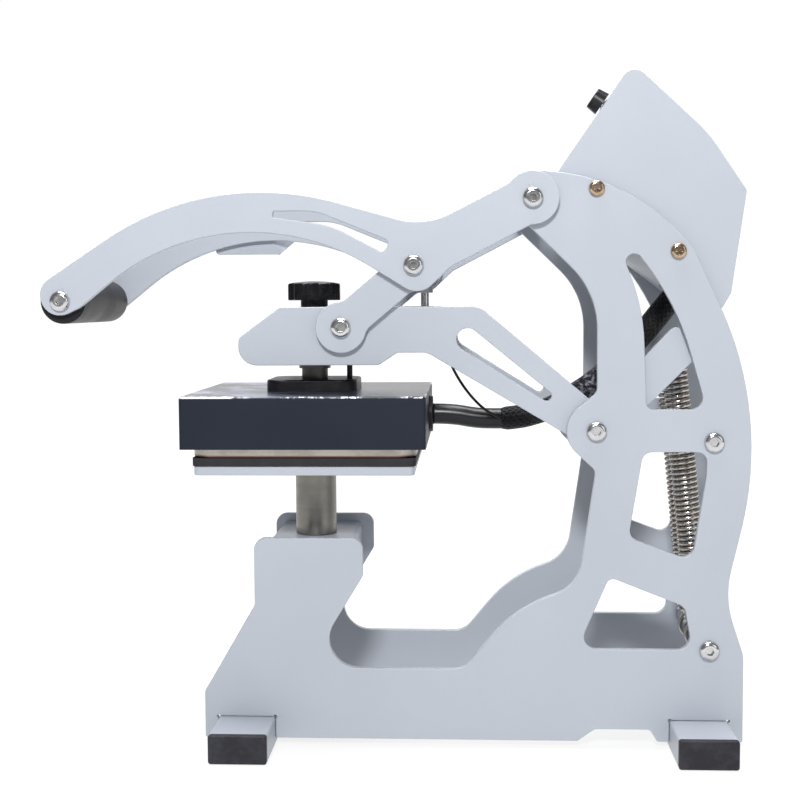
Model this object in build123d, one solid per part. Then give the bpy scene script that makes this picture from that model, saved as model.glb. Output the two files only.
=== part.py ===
from build123d import *
import math
import os

# Sizes in millimetres. X runs from the operator's end to the rear, Y across the press, Z up from the table.
# Outlines are measured from the middle between the two feet. At the end the whole press is moved along X,
# so that the origin lies on the table under the middle of its length.

# Layers across the press
frame_width = 115.0
plate = 5.0
arm_gap = 0.5
handle_gap = 1.0
weld_gap = 0.1
running = 0.06
seat_gap = 0.3
edge_radius = 0.6
shortest_edge = 0.1

frame_outer = frame_width / 2
frame_inner = frame_outer - plate
arm_outer = frame_inner - arm_gap
arm_inner = arm_outer - plate
handle_inner = frame_outer + handle_gap
handle_outer = handle_inner + plate

# Pivots (x, z): handle on frame, link on handle, link on arm, arm on frame
pivot_a = (42.1, 380.1)
pivot_b = (-38.5, 335.3)
pivot_c = (-88.9, 293.0)
pivot_d = (86.1, 221.4)
pivot_bolt_r = 5.0

# Side plates
base_clear = 5.0
frame_front = -187.0
bracket_front = -151.0
bracket_rear = -75.0
bracket_top = 147.0
throat_floor = 55.4
throat_back = 86.4
frame_rear = 187.4
nose_r = 17.0
nose_middle = (43.6, 381.6)
lobe_r = 20.3

# Feet
foot_spacing = 314.8
foot_width = 40.0
foot_height = 20.0
foot_length = 200.0
foot_wall = 1.5
cap_flange = 4.0
cap_plug = 12.0
notch_gap = 0.3
dog_bone_r = 1.2

# Rear rods, stops and screws of the frame
lower_rod = (163.9, 69.8)
upper_stop = (165.7, 213.9)
rod_r = 6.0
stop_r = 8.0
stop_length = 14.0
box_screw_places = ((85.3, 386.2), (140.4, 343.7))
box_screw_r = 2.5
bolt_r = 4.0
bolt_head_r = 7.0
bolt_head_h = 4.4
pan_head_r = 5.5
pan_head_h = 3.4
pivot_tube_r = 9.0
arm_shaft_r = 8.0

# Press axis, post and platens
press_x = -113.5
mount_top = 141.0
mount_front = -145.0
mount_rear = -84.0
mount_depth = 26.0
post_r = 14.9
post_bolt_r = 5.0
lower_platen_size = 151.0
lower_platen_top = 199.5
lower_platen_thick = 6.5
pad_size = 153.0
pad_thick = 5.5
heating_size = 153.5
heating_thick = 14.0
heating_corner_r = 14.0
element_r = 4.0
element_gap = 0.1
element_turn_r = 45.0
element_straight = 75.0
housing_size = 167.0
housing_top = 247.3
housing_bottom = 211.5
housing_wall = 1.5
block_x = 65.0
block_y = 60.0
block_top = 255.4
block_corner_r = 12.0
guide_pin_x = -88.0
guide_pin_r = 2.05
guide_pin_top = 275.5
gland_z = 229.0
gland_r = 13.0
gland_flange = 2.8
gland_thread_r = 8.9

# Platen arm
arm_top = 307.2
arm_bottom = 266.9
nut_plate_low = 268.0
nut_plate_thick = 8.0
nut_plate_rear = -79.5
nut_plate_front = -134.0
boss_r = 13.0
boss_top = 300.0
lower_boss_r = 11.5
lower_boss_bottom = 262.7
cross_tube_r = 10.0
spring_bar = (143.5, 277.0)
spring_bar_r = 4.0
arm_eye_r = 17.0
slot_upper = (-1.8, 284.4)
slot_upper_r = 7.8
slot_lower = (52.3, 245.4)
slot_lower_r = 3.5
stop_plate_low = 284.0
stop_plate_thick = 6.0
stop_plate_front = -46.0
stop_plate_rear = -20.0
stop_screw_x = -32.8
stop_screw_r = 2.9
stop_head_h = 4.0
stop_head_flats = 10.0
sensor_size = (8.0, 12.0, 16.0)

# Pressure screw and its knob
screw_r = 9.5
screw_tip_r = 6.0
screw_foot_r = 13.2
screw_foot_h = 3.0
knob_r = 19.0
knob_bottom = 312.0
knob_top = 325.9
knob_dome_r = 100.0
knob_edge_r = 1.5
knob_hub_r = 9.9
knob_hub_bottom = 304.0
knob_lobes = 6
knob_scallop_r = 7.0

# Handle
grip = (-281.9, 312.2)
grip_r = 15.75
handle_tip_r = 13.3
handle_eye_r = 18.0
handle_lobe_r = 18.9
handle_tube_r = 14.0
tab_thick = 2.0
tab_bend = 40.0

# Links
link_eye_r = 17.5
link_width = 25.0
link_blend_r = 10.0

# Springs
spring_wire_r = 1.5
spring_coil_r = 7.5
spring_hook_r = 8.6
spring_turns = 37
spring_offset = 14.0
spring_lead_in = 3.0
hook_sweep = 250.0

# Control box
box_wall = 1.5
box_width = 2 * frame_inner - 2 * weld_gap
panel_foot = (52.7, 387.8)
panel_apex = (109.3, 470.1)
box_corner = (186.5, 384.4)
box_heel = (176.8, 315.3)
box_chin = (170.9, 305.1)
floor_rear = (160.3, 305.0)
cover_gap = 0.2
earth_screw = (141.2, 326.2)
earth_screw_r = 1.3
earth_head_r = 3.2
earth_head_h = 2.2
cover_screw_x = 38.0
cover_screw_low = -29.0
cover_screw_high = 26.0
inlet_screw_reach = 20.0
dial_rise = 75.1
dial_r = 8.6
dial_top_r = 7.6
dial_height = 8.4
dial_gap = 1.2
dial_nut_h = 0.5
dial_shaft_r = 3.0
display_rise = 35.5
display_size = (64.0, 38.0)
window_size = (50.0, 24.0)
display_cutout = (display_size[0] - 6.0, display_size[1] - 6.0)
display_fit = 0.2
bezel_depth = 2.0
window_set_back = 0.8
window_thick = 2.0
board_size = (75.0, 58.0)
board_drop = 16.0
inlet_y = 20.0
inlet_flange = (50.0, 23.0)
inlet_cutout = (28.0, 20.0)
inlet_pocket = (24.5, 16.5)
switch_y = -17.0
switch_bezel = (17.0, 25.0)
switch_cutout = (13.0, 20.0)
rocker_r = 9.5

# Cables: routes are points (x, y, z) on their centre lines
cable_r = 7.5
sleeve_r = 8.6
wire_r = 1.0
bushing_r = 13.0
bushing_flange = 2.0
bushing_place = 119.0
sleeve_gap = 0.5

heater_route = [
    (0.0, 0.0, gland_z),
    (14.0, 0.0, gland_z),
    (32.0, 0.0, 225.6),
    (49.0, 0.0, 225.4),
]
sleeve_route = [
    (22.5, 0.0, 225.4),
    (38.0, 0.0, 226.3),
    (62.0, 0.0, 234.0),
    (88.0, 0.0, 250.5),
    (112.0, 0.0, 272.0),
]
wire_route = [
    (-15.5, -4.0, 276.0),
    (-15.0, -4.0, 267.5),
    (-10.0, -4.8, 257.0),
    (-2.6, -6.6, 245.8),
    (6.2, -8.4, 236.0),
    (14.6, -9.2, 229.6),
    (21.9, -8.8, 226.2),
]


def around(centre, radius, heading, turn):
    """Corners that carry an outline clockwise round an eye, from one heading in degrees through a turn."""
    count = math.ceil(turn / 90)
    step = turn / count
    reach = radius / math.cos(math.radians(step / 2))
    corners = []
    for index in range(count):
        normal = math.radians(heading + 90 - (index + 0.5) * step)
        x = centre[0] + reach * math.cos(normal)
        z = centre[1] + reach * math.sin(normal)
        corners.append((x, z, radius))
    return corners


def rounded(corners):
    """A closed face through corners (x, z, radius), each rounded by its own radius."""
    bends = []
    count = len(corners)
    for index, (x, z, radius) in enumerate(corners):
        here = Vector(x, z)
        back = (Vector(*corners[index - 1][:2]) - here).normalized()
        ahead = (Vector(*corners[(index + 1) % count][:2]) - here).normalized()
        half = math.radians(back.get_angle(ahead)) / 2
        reach = radius / math.tan(half)
        middle = here + (back + ahead).normalized() * (radius / math.sin(half) - radius)
        bends.append([here + back * reach, middle, here + ahead * reach])
    for index, bend in enumerate(bends):
        following = bends[(index + 1) % count]
        if (following[0] - bend[2]).length < shortest_edge:
            bend[2] = following[0]
    edges = []
    for index, (enter, middle, leave) in enumerate(bends):
        if (leave - enter).length > shortest_edge:
            edges.append(Edge.make_three_point_arc(enter, middle, leave))
        following = bends[(index + 1) % count][0]
        if (following - leave).length > shortest_edge:
            edges.append(Edge.make_line(leave, following))
    face = Face(Wire(edges))
    return -face if face.normal_at().Z < 0 else face


def slab(face, low, high):
    """A face drawn in X and Z, given thickness from one Y to another."""
    return extrude(Plane.XZ.offset(-high) * face, amount=high - low)


def rod(place, radius, low, high):
    """A round bar along Y at (x, z)."""
    return slab(Pos(*place) * Circle(radius), low, high)


def tube(place, radius, bore, length):
    """A tube along Y, centred on the middle plane."""
    return rod(place, radius, -length / 2, length / 2) - rod(place, bore, -length, length)


def span(side, inner, outer):
    """Low and high Y of a layer on one side of the middle plane."""
    return (inner, outer) if side > 0 else (-outer, -inner)


def soften(body, size=edge_radius):
    """The two broad faces of a plate get a small round along all their edges."""
    broad = body.faces().filter_by(Axis.Y).sort_by(SortBy.AREA)[-2:]
    return fillet(broad.edges(), size)


def upright(x, y, low, high, radius):
    """A round bar along Z."""
    return Pos(x, y, (low + high) / 2) * Cylinder(radius, high - low)


def block(low, high):
    """A box between two opposite corners."""
    size = [b - a for a, b in zip(low, high)]
    middle = [(a + b) / 2 for a, b in zip(low, high)]
    return Pos(*middle) * Box(*size)


def sheet_block(x, size_x, size_y, low, high, corner):
    """An upright block centred on (x, 0) with rounded vertical corners."""
    return Pos(x, 0, low) * extrude(RectangleRounded(size_x, size_y, corner), amount=high - low)


def button_bolt(place, side, seat, shank_r, length):
    """A button-head bolt with a hexagon socket. Its head rests on the layer whose outer face is at seat."""
    head = Cylinder(bolt_head_r, bolt_head_h, align=(Align.CENTER, Align.CENTER, Align.MIN))
    head = fillet(head.faces().sort_by(Axis.Z)[-1].edges(), bolt_head_h * 0.72)
    socket = Pos(0, 0, bolt_head_h - 2.4) * extrude(RegularPolygon(2.9, 6), amount=3)
    shank = Cylinder(shank_r, length, align=(Align.CENTER, Align.CENTER, Align.MAX))
    return out_of(place, side, seat) * (head + shank - socket)


def pan_screw(place, side, seat, head_r, head_h, shank_r, length):
    """A pan-head screw with a cross recess, pointing out of the frame."""
    head = Cylinder(head_r, head_h, align=(Align.CENTER, Align.CENTER, Align.MIN))
    head = fillet(head.faces().sort_by(Axis.Z)[-1].edges(), head_h * 0.7)
    slot = Box(head_r, head_r * 0.22, head_h)
    cross = Pos(0, 0, head_h) * (slot + Rot(0, 0, 90) * slot)
    shank = Cylinder(shank_r, length, align=(Align.CENTER, Align.CENTER, Align.MAX))
    return out_of(place, side, seat) * (head + shank - cross)


def out_of(place, side, seat):
    """The place at (x, z) on one side where local +Z points away from the middle plane."""
    return Location(Plane(origin=(place[0], side * seat, place[1]), x_dir=(1, 0, 0), z_dir=(0, side, 0)))


def frame_face():
    """Outline of a side plate with its three windows and the notches for the feet."""
    outline = [
        (frame_front, base_clear, 1.5),
        (frame_front, 38.0, 6.0),
        (bracket_front, 99.5, 6.0),
        (bracket_front, bracket_top, 8.5),
        (bracket_rear, bracket_top, 8.2),
        (bracket_rear, 120.5, 4.0),
        (-114.4, throat_floor, 20.3),
        (-4.8, throat_floor, 16.0),
        (31.0, 99.0, 95.0),
        (74.0, 114.0, 27.0),
        (85.7, 194.0, 6.0),
        *around(pivot_d, lobe_r, 137.0, 97.1),
        (throat_back, 248.1, 6.0),
        (throat_back, 316.0, 59.6),
        *around(nose_middle, nose_r, 135.7, 143.1),
        (102.4, 393.4, 132.8),
        (149.2, 348.1, 55.3),
        (203.5, 233.0, 235.0),
        (174.0, 106.7, 68.6),
        (frame_rear, 66.1, 20.0),
        (frame_rear, base_clear, 1.5),
        (129.0, base_clear, 2.0),
        (124.0, 13.5, 4.0),
        (86.0, 13.5, 4.0),
        (74.0, base_clear, 3.0),
    ]
    window_top = [
        (119.8, 236.3, 5.0),
        (117.2, 306.0, 140.0),
        (103.9, 339.0, 5.5),
        (112.2, 343.8, 5.5),
        (139.6, 308.7, 185.0),
        (160.5, 236.3, 8.0),
    ]
    window_middle = [
        (118.0, 207.0, 7.0),
        (161.5, 207.0, 7.0),
        (160.8, 190.0, 40.0),
        (151.8, 131.8, 8.0),
        (108.2, 147.9, 8.0),
    ]
    window_low = [
        (95.4, 120.5, 5.0),
        (147.1, 100.1, 7.0),
        (152.6, 69.8, 9.0),
        (73.5, 69.8, 9.0),
    ]
    face = rounded(outline)
    for window in (window_top, window_middle, window_low):
        face -= rounded(window)
    for x in (-foot_spacing / 2, foot_spacing / 2):
        face -= Pos(x, foot_height / 2) * Rectangle(foot_width + 2 * notch_gap, foot_height + 2 * notch_gap)
        for corner in (-1, 1):
            face -= Pos(x + corner * foot_width / 2, foot_height) * Circle(dog_bone_r)
    face -= Pos(*pivot_a) * Circle(pivot_bolt_r + running)
    for place in (pivot_d, lower_rod, upper_stop):
        face -= Pos(*place) * Circle(bolt_r + running)
    for place in box_screw_places:
        face -= Pos(*place) * Circle(box_screw_r + running)
    return face


def frame_plate(side):
    return soften(slab(frame_face(), *span(side, frame_inner, frame_outer)))


def foot_tubes():
    tubes = []
    length = foot_length - 2 * cap_flange
    for x in (-foot_spacing / 2, foot_spacing / 2):
        outside = extrude(RectangleRounded(foot_width, foot_height, 2.0), amount=length / 2, both=True)
        bore = RectangleRounded(foot_width - 2 * foot_wall, foot_height - 2 * foot_wall, 1.0)
        inside = extrude(bore, amount=length, both=True)
        tubes.append(Pos(x, 0, foot_height / 2) * Rot(90, 0, 0) * (outside - inside))
    return tubes


def foot_caps():
    caps = []
    for x in (-foot_spacing / 2, foot_spacing / 2):
        for side in (-1, 1):
            flange = extrude(RectangleRounded(foot_width, foot_height, 2.0), amount=cap_flange)
            flange = fillet(flange.faces().sort_by(Axis.Z)[-1].edges(), 1.2)
            plug_x = foot_width - 2 * foot_wall - 2 * seat_gap
            plug_z = foot_height - 2 * foot_wall - 2 * seat_gap
            plug = extrude(RectangleRounded(plug_x, plug_z, 1.0), amount=-cap_plug)
            hollow = Pos(0, 0, -cap_plug) * Box(plug_x - 4, plug_z - 4, 2 * cap_plug - 2)
            place = out_of((x, foot_height / 2), side, foot_length / 2 - cap_flange)
            caps.append(place * (flange + (plug - hollow)))
    return caps


def post_mount():
    """Folded channel, open below, that carries the post between the side plates."""
    width = frame_inner - weld_gap
    channel = block((mount_front, -width, mount_top - mount_depth), (mount_rear, width, mount_top))
    top_edges = channel.edges().filter_by(Axis.Y).group_by(Axis.Z)[-1]
    channel = fillet(top_edges, 4.0)
    channel -= block(
        (mount_front + plate, -width - 1, mount_top - mount_depth - 1), (mount_rear - plate, width + 1, mount_top - plate)
    )
    return channel - upright(press_x, 0, mount_top - 2 * plate, mount_top + plate, post_bolt_r + running)


def press_post():
    top = lower_platen_top - lower_platen_thick
    post = upright(press_x, 0, mount_top, top, post_r)
    post = chamfer(post.edges().filter_by(GeomType.CIRCLE), 0.8)
    return post - upright(press_x, 0, mount_top - 1, mount_top + 24, post_bolt_r)


def post_bolt():
    """Hexagon bolt and washer below the mount, screwed up into the post."""
    seat = mount_top - plate
    washer = upright(press_x, 0, seat - 2, seat, 10.5) - upright(press_x, 0, seat - 3, seat + 1, post_bolt_r)
    head = Pos(press_x, 0, seat - 2 - 6.4) * extrude(RegularPolygon(9.8, 6), amount=6.4)
    shank = upright(press_x, 0, seat - 2, mount_top + 22, post_bolt_r)
    return [washer, head + shank]


def lower_platen():
    low = lower_platen_top - lower_platen_thick
    body = sheet_block(press_x, lower_platen_size, lower_platen_size, low, lower_platen_top, 4.0)
    return fillet(body.faces().filter_by(Axis.Z).edges(), 0.8)


def silicone_pad():
    return sheet_block(press_x, pad_size, pad_size, lower_platen_top, lower_platen_top + pad_thick, 5.0)


def lower_tie_rod():
    return tube(lower_rod, rod_r, bolt_r, 2 * (frame_inner - weld_gap))


def lever_stops():
    """Rubber sleeves inside the side plates, where the rear levers land when the press is open."""
    stops = []
    for side in (-1, 1):
        low, high = span(side, frame_inner - weld_gap - stop_length, frame_inner - weld_gap)
        sleeve = rod(upper_stop, stop_r, low, high) - rod(upper_stop, bolt_r, low - 1, high + 1)
        stops.append(sleeve)
    return stops


def frame_bolts():
    bolts = []
    for side in (-1, 1):
        for place in (pivot_d, lower_rod, upper_stop):
            bolts.append(button_bolt(place, side, frame_outer, bolt_r - 0.01, plate + stop_length - 1))
    return bolts


def handle_pivot_tube():
    return tube(pivot_a, pivot_tube_r, pivot_bolt_r, 2 * (frame_inner - weld_gap))


def handle_pivot_bolts():
    """Shouldered bolts on which the handle turns, with a thin washer between handle and frame."""
    pieces = []
    for side in (-1, 1):
        seat = handle_outer + seat_gap
        pieces.append(button_bolt(pivot_a, side, seat, pivot_bolt_r - 0.01, seat - frame_inner + 12))
        low, high = span(side, frame_outer, handle_inner - 0.2)
        pieces.append(rod(pivot_a, 8.5, low, high) - rod(pivot_a, pivot_bolt_r, low - 1, high + 1))
    return pieces


def arm_pivot_shaft():
    shaft = rod(pivot_d, arm_shaft_r, -(frame_inner - weld_gap), frame_inner - weld_gap)
    for side in (-1, 1):
        shaft -= rod(pivot_d, bolt_r, *span(side, frame_inner - 20, frame_inner))
    return shaft


def box_screws():
    """Pan-head screws that hold the control box, and the small earth screw inside it."""
    screws = []
    for side in (-1, 1):
        for place in box_screw_places:
            length = plate + weld_gap + box_wall + 2.5
            shank_r = box_screw_r - 0.01
            screws.append(pan_screw(place, side, frame_outer, pan_head_r, pan_head_h, shank_r, length))
    inner_wall = box_width / 2 - box_wall
    shank = box_wall - 0.4
    screws.append(pan_screw(earth_screw, -1, -inner_wall, earth_head_r, earth_head_h, earth_screw_r, shank))
    return screws


def box_outline():
    return [
        (*panel_foot, 2.0),
        (*panel_apex, 9.0),
        (160.5, 422.8, 110.0),
        (*box_corner, 4.0),
        (*box_heel, 2.0),
        (*box_chin, 2.0),
        (*floor_rear, 2.0),
    ]


def panel_plane(rise):
    """Plane on the slanted front panel, a given way up from its foot. Local X is across, Y up the panel."""
    along = Vector(panel_apex[0] - panel_foot[0], 0, panel_apex[1] - panel_foot[1]).normalized()
    origin = Vector(panel_foot[0], 0, panel_foot[1]) + along * rise
    return Plane(origin=origin, x_dir=(0, -1, 0), z_dir=(-along.Z, 0, along.X))


def back_plane():
    """Plane on the middle of the box's back. Local X is across, local Y up the back."""
    along = Vector(box_corner[0] - box_heel[0], 0, box_corner[1] - box_heel[1])
    origin = Vector(box_heel[0], 0, box_heel[1]) + along * 0.5
    along = along.normalized()
    return Plane(origin=origin, x_dir=(0, 1, 0), z_dir=(along.Z, 0, -along.X))


def floor_plane():
    """Plane on the slanted floor where the heater cable comes in. Local Z points down and out of the box."""
    along = Vector(floor_rear[0] - panel_foot[0], 0, floor_rear[1] - panel_foot[1]).normalized()
    origin = Vector(panel_foot[0], 0, panel_foot[1]) + along * bushing_place
    return Plane(origin=origin, x_dir=(0, 1, 0), z_dir=(along.Z, 0, -along.X))


def box_walls():
    outside = slab(rounded(box_outline()), -box_width / 2, box_width / 2)
    inner_face = offset(rounded(box_outline()), amount=-box_wall)
    inside = slab(inner_face, box_wall - box_width / 2, box_width / 2 - box_wall)
    return outside - inside


def cover_region(grow):
    """Space taken by the rear cover, between the side walls and behind the panel's top fold."""
    corners = [
        (114.0 - grow, 480.0, 0.0),
        (230.0, 480.0, 0.0),
        (230.0, 319.0 - grow, 0.0),
        (170.0, 319.0 - grow, 0.0),
        (176.0, 380.0, 0.0),
        (114.0 - grow, 450.0, 0.0),
    ]
    half = box_width / 2 - box_wall - cover_gap + grow
    return slab(rounded(corners), -half, half)


def control_box_shell():
    shell = box_walls() - cover_region(cover_gap)
    cut = Box(*display_cutout, 12)
    shell -= panel_plane(display_rise) * cut
    shell -= panel_plane(dial_rise) * Cylinder(dial_shaft_r + 1.0, 12)
    shell -= floor_plane() * Cylinder(sleeve_r + 1.4, 12)
    for side in (-1, 1):
        for place in box_screw_places:
            shell -= rod(place, box_screw_r, *span(side, frame_inner - 6, frame_inner))
    inner_wall = box_width / 2 - box_wall
    return shell - rod(earth_screw, earth_screw_r + 0.1, inner_wall - 1, inner_wall + box_wall - 0.3)


def control_box_cover():
    cover = box_walls() & cover_region(0)
    cover -= back_plane() * Pos(inlet_y, 0) * Box(*inlet_cutout, 12)
    cover -= back_plane() * Pos(switch_y, 0) * Box(*switch_cutout, 12)
    for place in cover_screw_places():
        cover -= back_plane() * Pos(*place) * Cylinder(1.5, 12)
    return cover


def cover_screw_places():
    """Four screws at the corners of the back and two beside the inlet."""
    corners = [(x, y) for x in (-cover_screw_x, cover_screw_x) for y in (cover_screw_low, cover_screw_high)]
    return corners + [(inlet_y - inlet_screw_reach, 0.0), (inlet_y + inlet_screw_reach, 0.0)]


def cover_screws():
    screws = []
    for x, y in cover_screw_places():
        rise = 2.5 if y == 0.0 else 0.0
        head = Cylinder(2.8, 1.9, align=(Align.CENTER, Align.CENTER, Align.MIN))
        head = fillet(head.faces().sort_by(Axis.Z)[-1].edges(), 1.3)
        slot = Box(2.6, 0.7, 1.6)
        shank = Cylinder(1.45, 6, align=(Align.CENTER, Align.CENTER, Align.MAX))
        screw = head + shank - Pos(0, 0, 1.9) * (slot + Rot(0, 0, 90) * slot)
        screws.append(back_plane() * Pos(x, y, rise) * screw)
    return screws


def controller_bezel():
    """Frame of the display: its face fills the cut-out flush with the panel, its flange is behind the panel."""
    face = (display_cutout[0] - 2 * display_fit, display_cutout[1] - 2 * display_fit)
    neck = extrude(Rectangle(*face), amount=-box_wall - bezel_depth)
    neck = fillet(neck.faces().sort_by(Axis.Z)[-1].edges(), 0.5)
    flange_size = (display_size[0] - 3.0, display_size[1] - 3.0)
    flange = extrude(RectangleRounded(*flange_size, 2.0), amount=-bezel_depth)
    opening = extrude(Rectangle(*window_size), amount=20, both=True)
    return panel_plane(display_rise) * (neck + Pos(0, 0, -box_wall - weld_gap) * flange - opening)


def controller_window():
    height = -window_set_back - window_thick / 2
    pane = Pos(0, 0, height) * Box(window_size[0] - 0.2, window_size[1] - 0.2, window_thick)
    return panel_plane(display_rise) * pane


def controller_board():
    """Circuit board behind the panel with its standoffs, relay and terminal block."""
    board = Box(*board_size, 1.6)
    relay = Pos(-18, -10, -8.8) * Box(19, 15, 16)
    terminals = Pos(14, -16, -5.8) * Box(30, 10, 10)
    body = board + relay + terminals
    for x in (-1, 1):
        for y in (-1, 1):
            reach = board_drop - box_wall - 0.8
            place = Pos(x * (board_size[0] / 2 - 4), y * (board_size[1] / 2 - 4), reach / 2 + 0.4)
            body += place * Cylinder(2.5, reach)
    middle = (display_rise + dial_rise) / 2 - 6
    return panel_plane(middle) * Pos(0, 0, -board_drop) * body


def dial_bush():
    """Threaded bush and nut of the rotary control, fixed in the panel."""
    below = (Align.CENTER, Align.CENTER, Align.MAX)
    bush = Pos(0, 0, dial_nut_h) * Cylinder(dial_shaft_r + 0.9, 9, align=below)
    nut = extrude(RegularPolygon(5.0, 6), amount=dial_nut_h)
    housing = Pos(0, 0, -5.5) * Box(12, 12, 8)
    bore = Cylinder(dial_shaft_r + running, 40)
    return panel_plane(dial_rise) * (bush + nut + housing - bore)


def dial_shaft():
    shaft = Cylinder(dial_shaft_r, 15.5, align=(Align.CENTER, Align.CENTER, Align.MIN))
    return panel_plane(dial_rise) * Pos(0, 0, -8.4) * shaft


def panel_dial():
    """Tapered black knob with a ribbed flank and an index line."""
    body = Pos(0, 0, dial_gap + dial_height / 2) * Cone(dial_r, dial_top_r, dial_height)
    body = fillet(body.faces().sort_by(Axis.Z)[-1].edges(), 0.8)
    for index in range(18):
        flank = Pos(dial_r + 0.1, 0, dial_gap + dial_height / 2) * Rot(0, -6.8, 0)
        groove = flank * Cylinder(0.55, dial_height + 2)
        body -= Rot(0, 0, 20 * index) * groove
    body -= Pos(0, dial_top_r / 2, dial_gap + dial_height) * Box(0.9, dial_top_r, 0.9)
    body -= Pos(0, 0, 3.5) * Cylinder(dial_shaft_r + 0.04, 7.4)
    return panel_plane(dial_rise) * body


def power_switch_frame():
    outer = extrude(RectangleRounded(*switch_bezel, 1.5), amount=2)
    outer = fillet(outer.faces().sort_by(Axis.Z)[-1].edges(), 0.8)
    body = Pos(0, 0, -6) * Box(switch_cutout[0] - 0.3, switch_cutout[1] - 0.3, 12)
    pivot = -rocker_r * 0.35
    hollow = Pos(0, 0, pivot) * Rot(0, 90, 0) * Cylinder(rocker_r + 0.25, switch_cutout[0] - 2.4)
    above = Pos(0, 0, 2) * Box(switch_cutout[0] - 2.4, 2 * rocker_r - 1.2, 4)
    shape = outer + body - hollow - above
    keep = Pos(0, 0, -4.9) * Box(40, 40, 14)
    return back_plane() * Pos(switch_y, 0) * (shape & keep)


def power_rocker():
    """Rocker with two facets, rounded about its own pivot so that it can tilt in its frame."""
    pivot = -rocker_r * 0.35
    width = switch_cutout[0] - 2.8
    drum = Pos(0, 0, pivot) * Rot(0, 90, 0) * Cylinder(rocker_r, width)
    facets = drum
    for way in (-1, 1):
        cut = Pos(0, 0, pivot) * Rot(way * 9, 0, 0) * Pos(0, 0, 6.2 + 10) * Box(20, 40, 20)
        cut &= Pos(0, way * 15, 0) * Box(20, 30, 40)
        facets -= cut
    facets -= Pos(0, 0, pivot - rocker_r * 0.3 - 10) * Box(20, 40, 20)
    tilt = Pos(0, 0, pivot) * Rot(9, 0, 0) * Pos(0, 0, -pivot)
    return back_plane() * Pos(switch_y, 0) * tilt * facets


def mains_inlet():
    """Socket for a detachable mains lead, with its three flat pins."""
    flange = extrude(RectangleRounded(*inlet_flange, 5.0), amount=2.5)
    flange = fillet(flange.faces().sort_by(Axis.Z)[-1].edges(), 0.6)
    body = Pos(0, 0, -9) * Box(inlet_cutout[0] - 0.4, inlet_cutout[1] - 0.4, 18)
    x = inlet_pocket[0] / 2
    y = inlet_pocket[1] / 2
    pocket_face = Polygon((-x, -y), (x, -y), (x, y - 4), (x - 4, y), (4 - x, y), (-x, y - 4), align=None)
    shape = flange + body - Pos(0, 0, -14) * extrude(pocket_face, amount=20)
    for pin_x, pin_y in ((-7, -1.5), (0, 2.5), (7, -1.5)):
        shape += Pos(pin_x, pin_y, -9) * Box(2, 4, 11)
    for screw_x in (-20, 20):
        shape -= Pos(screw_x, 0) * Cylinder(1.6, 12)
    return back_plane() * Pos(inlet_y, 0) * shape


def cable_bushing():
    """Snap bushing in the floor of the box. The sleeved cable ends at its flange."""
    flange = Cylinder(bushing_r, bushing_flange, align=(Align.CENTER, Align.CENTER, Align.MIN))
    flange = fillet(flange.faces().sort_by(Axis.Z)[-1].edges(), 0.8)
    neck = Cylinder(sleeve_r + 1.2, 5, align=(Align.CENTER, Align.CENTER, Align.MAX))
    return floor_plane() * (flange + neck)


def arm_face():
    outline = [
        (-161.8, arm_bottom, 13.0),
        (-160.6, 286.0, 4.5),
        (-131.6, arm_top, 3.0),
        (6.0, arm_top, 15.0),
        (87.1, 238.5, 9.0),
        (138.3, 292.8, 6.0),
        (142.7, 292.0, 2.0),
        (151.4, 268.6, 2.0),
        (88.4, 205.4, 14.0),
        (-29.8, 275.5, 12.0),
        (-50.4, 275.5, 6.0),
        (-63.3, arm_bottom, 6.0),
    ]
    face = rounded(outline) + Pos(*pivot_d) * Circle(arm_eye_r)
    upper = Pos(*slot_upper) * Circle(slot_upper_r)
    lower = Pos(*slot_lower) * Circle(slot_lower_r)
    slot = make_hull(upper.edges() + lower.edges())
    return face - slot - Pos(*pivot_d) * Circle(arm_shaft_r + running)


def arm_plate(side):
    body = soften(slab(arm_face(), *span(side, arm_inner, arm_outer)))
    return body - rod(pivot_c, bolt_r, -frame_width, frame_width)


def nut_block():
    """Cross plate between the arm plates with the long threaded boss of the pressure screw."""
    half = arm_inner - weld_gap
    top = nut_plate_low + nut_plate_thick
    body = block((nut_plate_front, -half, nut_plate_low), (nut_plate_rear, half, top))
    body += upright(press_x, 0, top, boss_top, boss_r)
    body += upright(press_x, 0, lower_boss_bottom, nut_plate_low, lower_boss_r)
    body -= upright(press_x, 0, lower_boss_bottom - 1, boss_top + 1, screw_r + running)
    return body - upright(guide_pin_x, 0, nut_plate_low - 1, top + 1, guide_pin_r + 0.1)


def arm_cross_tube():
    return tube(pivot_c, cross_tube_r, bolt_r, 2 * (arm_inner - weld_gap))


def lever_spring_bar():
    half = arm_inner - weld_gap
    return rod(spring_bar, spring_bar_r, -half, half)


def stop_plate():
    half = arm_inner - weld_gap
    top = stop_plate_low + stop_plate_thick
    body = block((stop_plate_front, -half, stop_plate_low), (stop_plate_rear, half, top))
    return body - upright(stop_screw_x, 0, stop_plate_low - 1, top + 1, stop_screw_r)


def stop_screw():
    """Adjustable stop for the handle's cross tube, with its lock nut on the plate."""
    head_top = pivot_b[1] - handle_tube_r - seat_gap
    head_bottom = head_top - stop_head_h
    corner = stop_head_flats / math.sqrt(3)
    hexagon = RegularPolygon(corner, 6)
    shank = upright(stop_screw_x, 0, stop_plate_low - 3, head_bottom, stop_screw_r)
    head = Pos(stop_screw_x, 0, head_bottom) * extrude(hexagon, amount=stop_head_h)
    nut = Pos(stop_screw_x, 0, stop_plate_low + stop_plate_thick) * extrude(hexagon, amount=5)
    nut -= upright(stop_screw_x, 0, stop_plate_low, head_bottom, stop_screw_r)
    return [shank + head, nut]


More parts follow.
